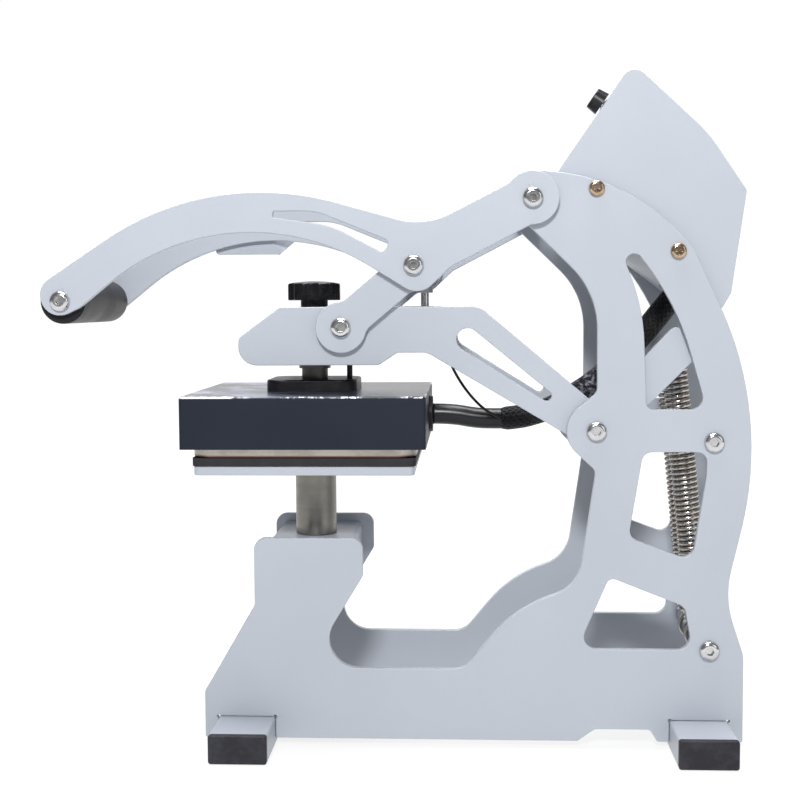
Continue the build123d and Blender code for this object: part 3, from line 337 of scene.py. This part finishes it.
def drawn_tube():
    """Stainless tube with rings from drawing and a soft haze."""
    g = Graph("drawn_tube")
    base = colours().stainless
    rings = g.noise(900, 3, 0.6, g.stretched(0.02, 0.02, 1))
    haze = g.noise(45, 4)
    g.set(
        Base_Color=g.blend(g.span(haze, 0.3, 0.7), tint(base, 0.8), tint(base, 1.2)),
        Metallic=1.0,
        Roughness=g.span(rings, 0.3, 0.7, 0.28, 0.44),
    )
    g.bump(rings, 0.00003, 0.6, g.round_edges(0.0003))
    return g.material


def milled_plate():
    """Aluminium plate browned by heat in soft patches."""
    g = Graph("milled_plate")
    base = colours().aluminium
    stain = g.span(g.noise(55, 5, 0.6), 0.42, 0.75)
    lines = g.noise(1400, 2, 0.5, g.stretched(0.03, 1, 1))
    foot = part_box("heating_plate")[0].z
    scorch = g.span(g.axes()[2], foot + 0.0008, foot + 0.0022, 1.0, 0.0)
    browned = g.blend(stain, tuple(base), tint(base, 0.62))
    g.set(
        Base_Color=g.blend(scorch, browned, tuple(colours().scorch)),
        Metallic=0.85,
        Roughness=g.span(lines, 0.3, 0.7, 0.36, 0.5),
    )
    g.bump(lines, 0.00003, 0.6, g.round_edges(0.0006))
    return g.material


def silicone_foam():
    """Open-pored silicone, mottled, with its pores in the bump and pressed smooth in places."""
    g = Graph("silicone_foam")
    base = colours().silicone
    pores = g.span(g.cells(1100), 0.1, 0.45)
    mottle = g.noise(120, 4)
    g.set(
        Base_Color=g.blend(g.span(mottle, 0.35, 0.7), tuple(base), tint(base, 2.2)),
        Roughness=g.span(mottle, 0.3, 0.7, 0.6, 0.8),
        Specular_IOR_Level=0.35,
    )
    g.bump(pores, 0.00018, 0.7, g.round_edges(0.0008))
    return g.material


def moulded(name, rough=0.38, grain=900, depth=0.00004, edge=0.0004, shade=1.0):
    """Black moulded plastic with a fine grain and faint rubbing. shade makes it lighter or darker."""
    g = Graph(name)
    base = tint(colours().black, shade)
    rub = g.span(g.noise(70, 5, 0.7), 0.45, 0.75)
    g.set(
        Base_Color=g.blend(rub, tuple(base), tint(base, 2.4)),
        Roughness=g.span(rub, 0, 1, rough, rough + 0.14),
        Specular_IOR_Level=0.25,
    )
    g.bump(g.noise(grain, 2), depth, 0.5, g.round_edges(edge))
    return g.material


def grip_sleeve():
    """Rubber sleeve of the grip with a fine pebble."""
    g = Graph("grip_sleeve")
    base = colours().black
    pebble = g.span(g.cells(850), 0.0, 0.6)
    handled = g.span(g.noise(30, 4), 0.4, 0.7)
    g.set(
        Base_Color=g.blend(handled, tint(base, 0.7), tint(base, 1.2)),
        Roughness=g.span(handled, 0, 1, 0.5, 0.38),
        Specular_IOR_Level=0.25,
    )
    g.bump(pebble, 0.0001, 0.5, g.round_edges(0.001))
    return g.material


def board_mask():
    """Green solder mask with lighter tracks."""
    g = Graph("board_mask")
    base = colours().board
    tracks = g.add("ShaderNodeTexBrick", offset=0.5)
    g.link(g.place, tracks.inputs["Vector"])
    tracks.inputs["Scale"].default_value = 160
    lines = g.span(tracks.outputs["Fac"], 0, 1)
    g.set(
        Base_Color=g.blend(lines, tuple(base), tint(base, 2.2)),
        Roughness=g.span(g.noise(200), 0.3, 0.7, 0.3, 0.45),
    )
    g.bump(lines, 0.00005, 0.4)
    return g.material


def fibre_mat():
    """Pressed mineral fibres."""
    g = Graph("fibre_mat")
    base = colours().mat
    strands = g.noise(900, 5, 0.7, g.stretched(1, 1, 4))
    g.set(
        Base_Color=g.blend(strands, tint(base, 0.7), tint(base, 1.15)),
        Roughness=g.span(strands, 0.3, 0.7, 0.85, 0.95),
    )
    g.bump(strands, 0.0003, 0.8)
    return g.material


def display_glass():
    """Dark tinted pane with a soft sheen of finger marks."""
    g = Graph("display_glass")
    smear = g.span(g.noise(90, 5, 0.7), 0.45, 0.8)
    g.set(
        Base_Color=g.blend(smear, tuple(colours().pane), tuple(colours().smear)),
        Roughness=g.span(smear, 0, 1, 0.06, 0.2),
        Coat_Weight=0.5,
    )
    g.bump(g.noise(500, 1), 0.00001, 0.3)
    return g.material


def cable_jacket():
    """Glossy black jacket with pale scuffs along its length."""
    g = Graph("cable_jacket")
    uv = g.add("ShaderNodeTexCoord").outputs["UV"]
    scuff = g.span(g.noise(5, 6, 0.75, g.stretched(6, 1, 1, uv)), 0.56, 0.72)
    g.set(
        Base_Color=g.blend(scuff, tuple(colours().black), tuple(colours().jacket_scuff)),
        Roughness=g.span(scuff, 0, 1, 0.3, 0.6),
        Specular_IOR_Level=0.3,
    )
    g.bump(g.noise(800, 3), 0.00005, 0.5)
    return g.material


SLEEVE_STRANDS = 12


def braided_sleeve():
    """Braided yarn sleeve: two sets of strands that cross, with worn pale fibres."""
    g = Graph("braided_sleeve")
    uv = g.add("ShaderNodeTexCoord").outputs["UV"]
    parts = g.add("ShaderNodeSeparateXYZ")
    g.link(uv, parts.inputs[0])
    along = parts.outputs[1]
    round_way = g.math("MULTIPLY", parts.outputs[0], math.tau * SLEEVE_STRANDS)
    long_way = g.math("MULTIPLY", along, SLEEVE_STRANDS / sizes().sleeve)
    left = g.math("SINE", g.math("ADD", round_way, long_way))
    right = g.math("SINE", g.math("SUBTRACT", round_way, long_way))
    over = g.math("SINE", round_way)
    weave = g.math("MAXIMUM", left, right)
    relief = g.math("ADD", weave, g.math("MULTIPLY", over, 0.25))
    fluff = g.span(g.noise(420, 6, 0.75), 0.52, 0.70)
    worn = g.math("MULTIPLY", g.span(weave, 0.3, 1.0), fluff)
    by_pivot = g.math("MINIMUM", g.span(along, 0.030, 0.050), g.span(along, 0.080, 0.100, 1.0, 0.0))
    frayed = g.math("MULTIPLY", by_pivot, g.span(g.noise(260, 6, 0.75), 0.50, 0.62))
    yarn = g.blend(worn, tint(colours().black, 0.7), tuple(colours().yarn))
    g.set(
        Base_Color=g.blend(frayed, yarn, tuple(colours().fray)),
        Roughness=g.span(fluff, 0, 1, 0.5, 0.85),
        Specular_IOR_Level=0.18,
        Sheen_Weight=0.08,
        Sheen_Roughness=0.5,
    )
    g.bump(relief, 0.00035, 0.9)
    return g.material


WHITE = (1.0, 1.0, 1.0, 1.0)


def studio_floor():
    """Plain pale floor, barely mottled, glowing dimmer near the press and brighter further out."""
    g = Graph("studio_floor")
    base = colours().floor
    g.set(
        Base_Color=g.blend(g.noise(3, 2), tint(base, 0.99), tuple(base)),
        Roughness=g.span(g.noise(30, 2), 0.3, 0.7, 0.75, 0.85),
    )
    # The floor glows as a light: weaker near the press, stronger further out.
    away = g.add("ShaderNodeVectorMath", operation="LENGTH")
    g.link(g.place, away.inputs[0])
    g.set(
        Emission_Color=WHITE,
        Emission_Strength=g.span(away.outputs["Value"], 0.4, 1.6, 0.8, 1.02),
    )
    g.bump(g.noise(200, 2), 0.00002, 0.2)
    return g.material


# Placing finishes and meshes


def finish_node(node, material):
    """Gives a CAD node its material and smooth shading across its soft edges."""
    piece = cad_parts[node]
    piece.data.materials.clear()
    piece.data.materials.append(material)
    smooth_by_angle(piece.data, SOFT_EDGE)


def smooth_by_angle(mesh, angle):
    """Shades a mesh smoothly, apart from edges sharper than the angle."""
    work = bmesh.new()
    work.from_mesh(mesh)
    sharp = [
        edge.index for edge in work.edges if not edge.is_manifold or edge.calc_face_angle(math.pi) > angle
    ]
    work.free()
    mesh.polygons.foreach_set("use_smooth", [True] * len(mesh.polygons))
    flags = [False] * len(mesh.edges)
    for index in sharp:
        flags[index] = True
    mesh.edges.foreach_set("use_edge_sharp", flags)
    mesh.update()


def finish_nodes(material, *nodes):
    for node in nodes:
        finish_node(node, material)


def tube_mesh(name, points, radius, sides, swell=None):
    """A closed tube along points, with u round it and v along it in metres.

    swell scales the radius by the share of the points passed.
    """
    work = bmesh.new()
    uv_layer = work.loops.layers.uv.new("UVMap")
    ways = []
    for index in range(len(points)):
        before = points[max(index - 1, 0)]
        after = points[min(index + 1, len(points) - 1)]
        ways.append((after - before).normalized())
    across = ways[0].orthogonal().normalized()
    rings = []
    travelled = [0.0]
    for index, (place, way) in enumerate(zip(points, ways)):
        across = (across - way * across.dot(way)).normalized()
        other = way.cross(across)
        size = radius * (swell(index / (len(points) - 1)) if swell else 1.0)
        ring = []
        for side in range(sides):
            angle = math.tau * side / sides
            ring.append(work.verts.new(place + (across * math.cos(angle) + other * math.sin(angle)) * size))
        rings.append(ring)
        if index:
            travelled.append(travelled[-1] + (place - points[index - 1]).length)
    for index, (first, second) in enumerate(zip(rings, rings[1:])):
        for side in range(sides):
            turn = (side + 1) % sides
            face = work.faces.new((first[side], first[turn], second[turn], second[side]))
            face.smooth = True
            u0, u1 = side / sides, (side + 1) / sides
            v0, v1 = travelled[index], travelled[index + 1]
            for loop, corner in zip(face.loops, ((u0, v0), (u1, v0), (u1, v1), (u0, v1))):
                loop[uv_layer].uv = corner
    work.faces.new(list(reversed(rings[0])))
    work.faces.new(rings[-1])
    mesh = bpy.data.meshes.new(name)
    work.to_mesh(mesh)
    work.free()
    return mesh


def add_piece(name, mesh, material):
    piece = bpy.data.objects.new(name, mesh)
    bpy.context.scene.collection.objects.link(piece)
    piece.data.materials.append(material)
    return piece


def spline_points(name, route):
    """Points along a smooth NURBS line whose control points are the route's."""
    curve = bpy.data.curves.new(name, "CURVE")
    curve.dimensions = "3D"
    curve.resolution_u = CURVE_STEPS
    spline = curve.splines.new("NURBS")
    spline.points.add(len(route) - 1)
    for point, place in zip(spline.points, route):
        point.co = (*place, 1.0)
    spline.order_u = 3
    spline.use_endpoint_u = True
    guide = bpy.data.objects.new(name, curve)
    bpy.context.scene.collection.objects.link(guide)
    bpy.context.view_layer.update()
    line = bpy.data.meshes.new_from_object(guide.evaluated_get(bpy.context.evaluated_depsgraph_get()))
    points = [vertex.co.copy() for vertex in line.vertices]
    bpy.data.objects.remove(guide)
    bpy.data.curves.remove(curve)
    bpy.data.meshes.remove(line)
    return points


def evenly(points, step):
    """The same line with points about one step apart."""
    total = sum((b - a).length for a, b in zip(points, points[1:]))
    count = max(2, round(total / step))
    even = [points[0]]
    travelled = 0.0
    target = total / count
    for a, b in zip(points, points[1:]):
        run = (b - a).length
        while travelled + run >= target and len(even) < count:
            even.append(a.lerp(b, (target - travelled) / run))
            target = total * len(even) / count
        travelled += run
    even.append(points[-1])
    return even


def hermite(start, start_way, end, end_way, steps):
    """Points on a smooth curve between two places with given directions."""
    places = []
    for index in range(1, steps):
        t = index / steps
        places.append(
            start * (2 * t**3 - 3 * t**2 + 1)
            + start_way * (t**3 - 2 * t**2 + t)
            + end * (3 * t**2 - 2 * t**3)
            + end_way * (t**3 - t**2)
        )
    return places


# Springs


SPRING_TURNS = 50
COIL_STEPS = 24
HOOK_SWEEP = math.radians(250)
HOOK_STEPS = 30
HOOK_SEAT = 0.0002
JOIN_PULL = 1.3
JOIN_STEPS = 10
WIRE_SIDES = 12


def spring_line(reach):
    """Wire of one spring in its own frame: lower hook centre at the origin, upper one reach above it."""
    size = sizes()
    coil_low = size.hook + size.lead
    coil_high = reach - coil_low
    pitch = (coil_high - coil_low) / SPRING_TURNS
    join = size.hook * JOIN_PULL
    tail = 2 * size.wire
    hook = []
    for index in range(HOOK_STEPS + 1):
        angle = HOOK_SWEEP * index / HOOK_STEPS
        hook.append(Vector((size.hook * math.cos(angle), 0, -size.hook * math.sin(angle))))
    past_end = Vector((-math.sin(HOOK_SWEEP), 0, -math.cos(HOOK_SWEEP)))
    hook.append(hook[-1] + past_end * tail)
    coil = []
    for index in range(SPRING_TURNS * COIL_STEPS + 1):
        angle = math.tau * index / COIL_STEPS + math.pi / 2
        height = coil_low + pitch * index / COIL_STEPS
        coil.append(Vector((size.coil * math.cos(angle), size.coil * math.sin(angle), height)))
    up = Vector((0, 0, join))
    lower = hermite(hook[0], up, coil[0], Vector((-join, 0, 0)), JOIN_STEPS)
    top_hook = [Vector((-place.x, 0, reach - place.z)) for place in hook]
    upper = hermite(coil[-1], Vector((-join, 0, 0)), top_hook[0], up, JOIN_STEPS)
    return list(reversed(hook)) + lower + coil + upper + top_hook


def spring_ends():
    """Hook centres in the middle plane: on the lower rod and on the bar between the rear levers."""
    size = sizes()
    ends = []
    for node in ("lower_tie_rod", "lever_spring_bar"):
        low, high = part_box(node)
        ends.append(((low + high) / 2, (high.x - low.x) / 2))
    (low, low_r), (high, high_r) = ends
    along = (high - low).normalized()
    low = low + along * (size.hook - size.wire - low_r - HOOK_SEAT)
    high = high - along * (size.hook - size.wire - high_r - HOOK_SEAT)
    return low, high


# Cables


HEATER_STEP = 0.0015
SLEEVE_STEP = 0.0012
WIRE_STEP = 0.0008
CABLE_SIDES = 32
SLEEVE_SIDES = 48
THIN_SIDES = 12
HEATER_ROUTE = [
    (-27.2, 0.0, 229.0),
    (-13.2, 0.0, 229.0),
    (4.8, 0.0, 225.6),
    (21.8, 0.0, 225.4),
    (30.0, 0.0, 225.6),
]
SLEEVE_ROUTE = [
    (22.5, 0.0, 225.4),
    (38.0, 0.0, 226.3),
    (62.0, 0.0, 234.0),
    (88.0, 0.0, 250.5),
    (112.0, 0.0, 272.0),
    (130.8, 0.0, 294.2),
    (145.5, 0.0, 313.2),
]
WIRE_ROUTE = [
    (-15.5, -4.0, 276.0),
    (-15.0, -4.0, 267.5),
    (-10.0, -4.8, 257.0),
    (-2.6, -6.6, 245.8),
    (6.2, -8.4, 236.0),
    (14.6, -9.2, 229.6),
    (21.9, -8.8, 226.2),
]


def route_line(name, route, step):
    return evenly(spline_points(name, [from_feet(*place) for place in route]), step)


# Operators


class HEATPRESS_OT_coated_parts(bpy.types.Operator):
    """Powder coat on the frame, arms, links, handle, platen base and control box"""

    bl_idname = "heat_press.coated_parts"
    bl_label = "Coated parts"
    bl_options = {"REGISTER", "UNDO"}

    def execute(self, context):
        coat = powder_coat()
        finish_nodes(coat, "frame_plate_near", "frame_plate_far", "foot_tubes", "post_mount")
        finish_nodes(coat, "lower_platen")
        finish_nodes(coat, "arm_plate_near", "arm_plate_far", "stop_plate")
        finish_node("nut_block", half_coated())
        finish_nodes(coat, "handle_plate_near", "handle_plate_far", "handle_cross_tube", "handle_tab")
        finish_nodes(coat, "link_plate_near", "link_plate_far", "control_box_shell", "control_box_cover")
        return {"FINISHED"}


class HEATPRESS_OT_fasteners(bpy.types.Operator):
    """Plated bolts, rods, shafts and screws"""

    bl_idname = "heat_press.fasteners"
    bl_label = "Fasteners"
    bl_options = {"REGISTER", "UNDO"}

    def execute(self, context):
        zinc = plated("bright_zinc", colours().zinc, 0.14)
        finish_nodes(zinc, "frame_bolts", "handle_pivot_bolts", "grip_bolts", "cross_tube_bolts")
        finish_nodes(zinc, "link_end_bolts")
        finish_nodes(zinc, "post_bolt", "cover_screws", "stop_screw", "dial_bush", "dial_shaft")
        turned = plated("turned_steel", tint(colours().zinc, 0.8), 0.3)
        finish_nodes(turned, "lower_tie_rod", "handle_pivot_tube", "arm_pivot_shaft", "arm_cross_tube")
        finish_nodes(turned, "lever_spring_bar")
        yellow = plated("yellow_zinc", colours().yellow, 0.12, tuple(colours().warm_yellow))
        finish_nodes(yellow, "box_screws")
        return {"FINISHED"}


class HEATPRESS_OT_post(bpy.types.Operator):
    """Stainless post and pressure screw"""

    bl_idname = "heat_press.post"
    bl_label = "Post and screw"
    bl_options = {"REGISTER", "UNDO"}

    def execute(self, context):
        finish_nodes(drawn_tube(), "press_post")
        finish_nodes(plated("dark_screw", colours().screw, 0.34), "pressure_screw")
        return {"FINISHED"}


class HEATPRESS_OT_platens(bpy.types.Operator):
    """Housing, heating plate, its element and insulation, pad and swivel block"""

    bl_idname = "heat_press.platens"
    bl_label = "Platens"
    bl_options = {"REGISTER", "UNDO"}

    def execute(self, context):
        finish_nodes(enamel(), "platen_housing")
        finish_nodes(milled_plate(), "heating_plate")
        finish_nodes(plated("element_sheath", colours().stainless, 0.35), "heating_element")
        finish_nodes(fibre_mat(), "platen_insulation")
        finish_nodes(silicone_foam(), "silicone_pad")
        finish_nodes(moulded("black_oxide", 0.34, 1200), "swivel_block", "guide_pin")
        return {"FINISHED"}


class HEATPRESS_OT_knobs(bpy.types.Operator):
    """Knob of the pressure screw, grip, foot caps, stops and the sensor"""

    bl_idname = "heat_press.knobs"
    bl_label = "Knobs, grip and caps"
    bl_options = {"REGISTER", "UNDO"}

    def execute(self, context):
        finish_nodes(moulded("knob_plastic", 0.24, 700, 0.00001, shade=0.5), "pressure_knob")
        finish_nodes(moulded("cap_plastic", 0.42, 700, 0.00006, shade=2.4), "foot_caps")
        finish_nodes(moulded("fitting_plastic", 0.42, 700, 0.00006), "cable_gland", "closing_sensor")
        finish_nodes(moulded("stop_rubber", 0.6, 600, 0.00006), "lever_stops", "cable_bushing")
        finish_nodes(grip_sleeve(), "handle_grip")
        return {"FINISHED"}


class HEATPRESS_OT_controls(bpy.types.Operator):
    """Display, dial, switch, inlet and circuit board"""

    bl_idname = "heat_press.controls"
    bl_label = "Controls"
    bl_options = {"REGISTER", "UNDO"}

    def execute(self, context):
        finish_nodes(moulded("bezel_plastic", 0.4, 1100), "controller_bezel", "mains_inlet")
        finish_nodes(moulded("dial_plastic", 0.26, 900, 0.00002), "panel_dial")
        finish_nodes(moulded("switch_plastic", 0.18, 400, 0.00001), "power_switch_frame", "power_rocker")
        finish_nodes(display_glass(), "controller_window")
        finish_nodes(board_mask(), "controller_board")
        return {"FINISHED"}


class HEATPRESS_OT_springs(bpy.types.Operator):
    """Two return springs of unbroken wire with hooks at both ends"""

    bl_idname = "heat_press.springs"
    bl_label = "Return springs"
    bl_options = {"REGISTER", "UNDO"}

    def execute(self, context):
        # The wire's warmer patches are a painted warm reflection.
        wire = plated("spring_wire", colours().spring, 0.2, tuple(colours().wire_glint))
        low, high = spring_ends()
        along = (high - low).normalized()
        across = Vector((along.z, 0, -along.x))
        turn = Matrix((across, Vector((0, 1, 0)), along)).transposed()
        line = spring_line((high - low).length)
        for side, name in ((-1, "return_spring_near"), (1, "return_spring_far")):
            foot = low + Vector((0, side * sizes().offset, 0))
            points = [foot + turn @ place for place in line]
            piece = add_piece(name, tube_mesh(name, points, sizes().wire, WIRE_SIDES), wire)
            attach(piece, "frame")
            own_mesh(piece)
            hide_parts("return_springs")
        return {"FINISHED"}


class HEATPRESS_OT_cables(bpy.types.Operator):
    """Heater cable, its braided sleeve and the thin switch wire"""

    bl_idname = "heat_press.cables"
    bl_label = "Cables"
    bl_options = {"REGISTER", "UNDO"}

    def execute(self, context):
        jacket = cable_jacket()
        line = route_line("heater_guide", HEATER_ROUTE, HEATER_STEP)
        mesh = tube_mesh("heater_cable_run", line, sizes().cable, CABLE_SIDES)
        cable = add_piece("heater_cable_run", mesh, jacket)
        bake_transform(cable)
        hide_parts("heater_cable")
        line = route_line("sleeve_guide", SLEEVE_ROUTE, SLEEVE_STEP)
        mesh = tube_mesh("braided_sleeve_run", line, sizes().sleeve, SLEEVE_SIDES, sleeve_swell)
        sleeve = add_piece("braided_sleeve_run", mesh, braided_sleeve())
        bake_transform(sleeve)
        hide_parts("cable_sleeve")
        line = route_line("wire_guide", WIRE_ROUTE, WIRE_STEP)
        mesh = tube_mesh("switch_wire_run", line, sizes().thin, THIN_SIDES)
        wire = add_piece("switch_wire_run", mesh, jacket)
        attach(wire, "platen_arm")
        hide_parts("switch_wire")
        return {"FINISHED"}


def sleeve_swell(share):
    """Slight unevenness of the sleeve along its run, drawn in at its start."""
    drawn_in = min(1.0, 0.9 + share * 4)
    slow_wave = 0.02 * math.sin(share * 23)
    quick_wave = 0.005 * math.sin(share * 71)
    return drawn_in * (0.975 + slow_wave + quick_wave)


class HEATPRESS_OT_studio(bpy.types.Operator):
    """Camera, floor and soft studio light"""

    bl_idname = "heat_press.studio"
    bl_label = "Studio"
    bl_options = {"REGISTER", "UNDO"}

    def execute(self, context):
        add_camera()
        add_floor()
        add_lights()
        return {"FINISHED"}


CAMERA_PLACE = (-1.8, -971.1, 309.7)
CAMERA_YAW = math.radians(2.92)
CAMERA_PITCH = math.radians(4.16)
CAMERA_ROLL = math.radians(-0.31)
SENSOR_WIDTH = 36
NEAREST = 0.01
FURTHEST = 30
FLOOR_REACH = 6.0
FLOOR_GAP = 0.0003
LIGHT_AIM = (0.05, 0, 0.25)
LIGHTS = (
    ("key", (-0.05, -1.6, 1.2), (0.28, 0.22), 29),
    ("fill", (1.5, -1.4, 0.8), (1.0, 1.0), 4),
    ("top", (0.0, 0.15, 1.8), (1.2, 1.0), 56),
)
BACKDROP_GLOW = (("From Min", 0.8), ("From Max", 0.93), ("To Min", 0.2), ("To Max", 1.05))


def add_camera():
    data = bpy.data.cameras.new("camera")
    data.lens = sizes().lens
    data.sensor_width = SENSOR_WIDTH
    data.clip_start = NEAREST
    data.clip_end = FURTHEST
    camera = bpy.data.objects.new("camera", data)
    bpy.context.scene.collection.objects.link(camera)
    level = math.cos(CAMERA_PITCH)
    look = Vector((-math.sin(CAMERA_YAW) * level, math.cos(CAMERA_YAW) * level, -math.sin(CAMERA_PITCH)))
    right = look.cross(Vector((0, 0, 1))).normalized()
    upward = right.cross(look)
    tipped = right * math.cos(CAMERA_ROLL) + upward * math.sin(CAMERA_ROLL)
    columns = Matrix((tipped, tipped.cross(look), -look)).transposed()
    camera.matrix_world = Matrix.Translation(from_feet(*CAMERA_PLACE)) @ columns.to_4x4()
    bpy.context.scene.camera = camera


def add_floor():
    mesh = bpy.data.meshes.new("floor")
    signs = ((-1, -1), (1, -1), (1, 1), (-1, 1))
    corners = [(FLOOR_REACH * x, FLOOR_REACH * y, 0) for x, y in signs]
    mesh.from_pydata(corners, [], [(0, 1, 2, 3)])
    floor = bpy.data.objects.new("floor", mesh)
    bpy.context.scene.collection.objects.link(floor)
    floor.location.z = -FLOOR_GAP
    floor.data.materials.append(studio_floor())


def add_area_light(name, place, size, power):
    data = bpy.data.lights.new(name, "AREA")
    data.shape = "RECTANGLE"
    data.size, data.size_y = size
    data.energy = power
    light = bpy.data.objects.new(name, data)
    bpy.context.scene.collection.objects.link(light)
    light.location = place
    light.rotation_mode = "QUATERNION"
    light.rotation_quaternion = (Vector(LIGHT_AIM) - Vector(place)).to_track_quat("-Z", "Y")


def add_lights():
    world = bpy.data.worlds.new("studio")
    bpy.context.scene.world = world
    world.use_nodes = True
    tree = world.node_tree
    background = tree.nodes["Background"]
    background.inputs["Color"].default_value = WHITE
    way = tree.nodes.new("ShaderNodeTexCoord")
    axes = tree.nodes.new("ShaderNodeSeparateXYZ")
    bright = tree.nodes.new("ShaderNodeMapRange")
    for key, value in BACKDROP_GLOW:
        bright.inputs[key].default_value = value
    tree.links.new(way.outputs["Generated"], axes.inputs[0])
    tree.links.new(axes.outputs["Y"], bright.inputs["Value"])
    tree.links.new(bright.outputs["Result"], background.inputs["Strength"])
    for name, place, size, power in LIGHTS:
        add_area_light(name, place, size, power)
    bpy.context.scene.view_settings.view_transform = "Standard"


class HEATPRESS_PT_panel(bpy.types.Panel):
    """Colours, sizes and steps of the heat press"""

    bl_idname = "HEATPRESS_PT_panel"
    bl_label = "Mini heat press"
    bl_space_type = "VIEW_3D"
    bl_region_type = "UI"
    bl_category = "Heat press"

    def draw(self, context):
        for group in (colours(), sizes()):
            column = self.layout.column()
            for key in group.__annotations__:
                column.prop(group, key)
        for step in STEPS:
            self.layout.operator(step.bl_idname)


STEPS = (
    HEATPRESS_OT_studio,
    HEATPRESS_OT_cables,
    HEATPRESS_OT_springs,
    HEATPRESS_OT_coated_parts,
    HEATPRESS_OT_fasteners,
    HEATPRESS_OT_post,
    HEATPRESS_OT_platens,
    HEATPRESS_OT_knobs,
    HEATPRESS_OT_controls,
)
CLASSES = (HeatPressColours, HeatPressSizes, *STEPS, HEATPRESS_PT_panel)


def register():
    for item in CLASSES:
        bpy.utils.register_class(item)
    bpy.types.Scene.heat_press_colours = PointerProperty(type=HeatPressColours)
    bpy.types.Scene.heat_press_sizes = PointerProperty(type=HeatPressSizes)


def unregister():
    del bpy.types.Scene.heat_press_sizes
    del bpy.types.Scene.heat_press_colours
    for item in reversed(CLASSES):
        bpy.utils.unregister_class(item)


def main():
    register()
    for step in STEPS:
        group, action = step.bl_idname.split(".")
        getattr(getattr(bpy.ops, group), action)()


if __name__ == "__main__":
    main()
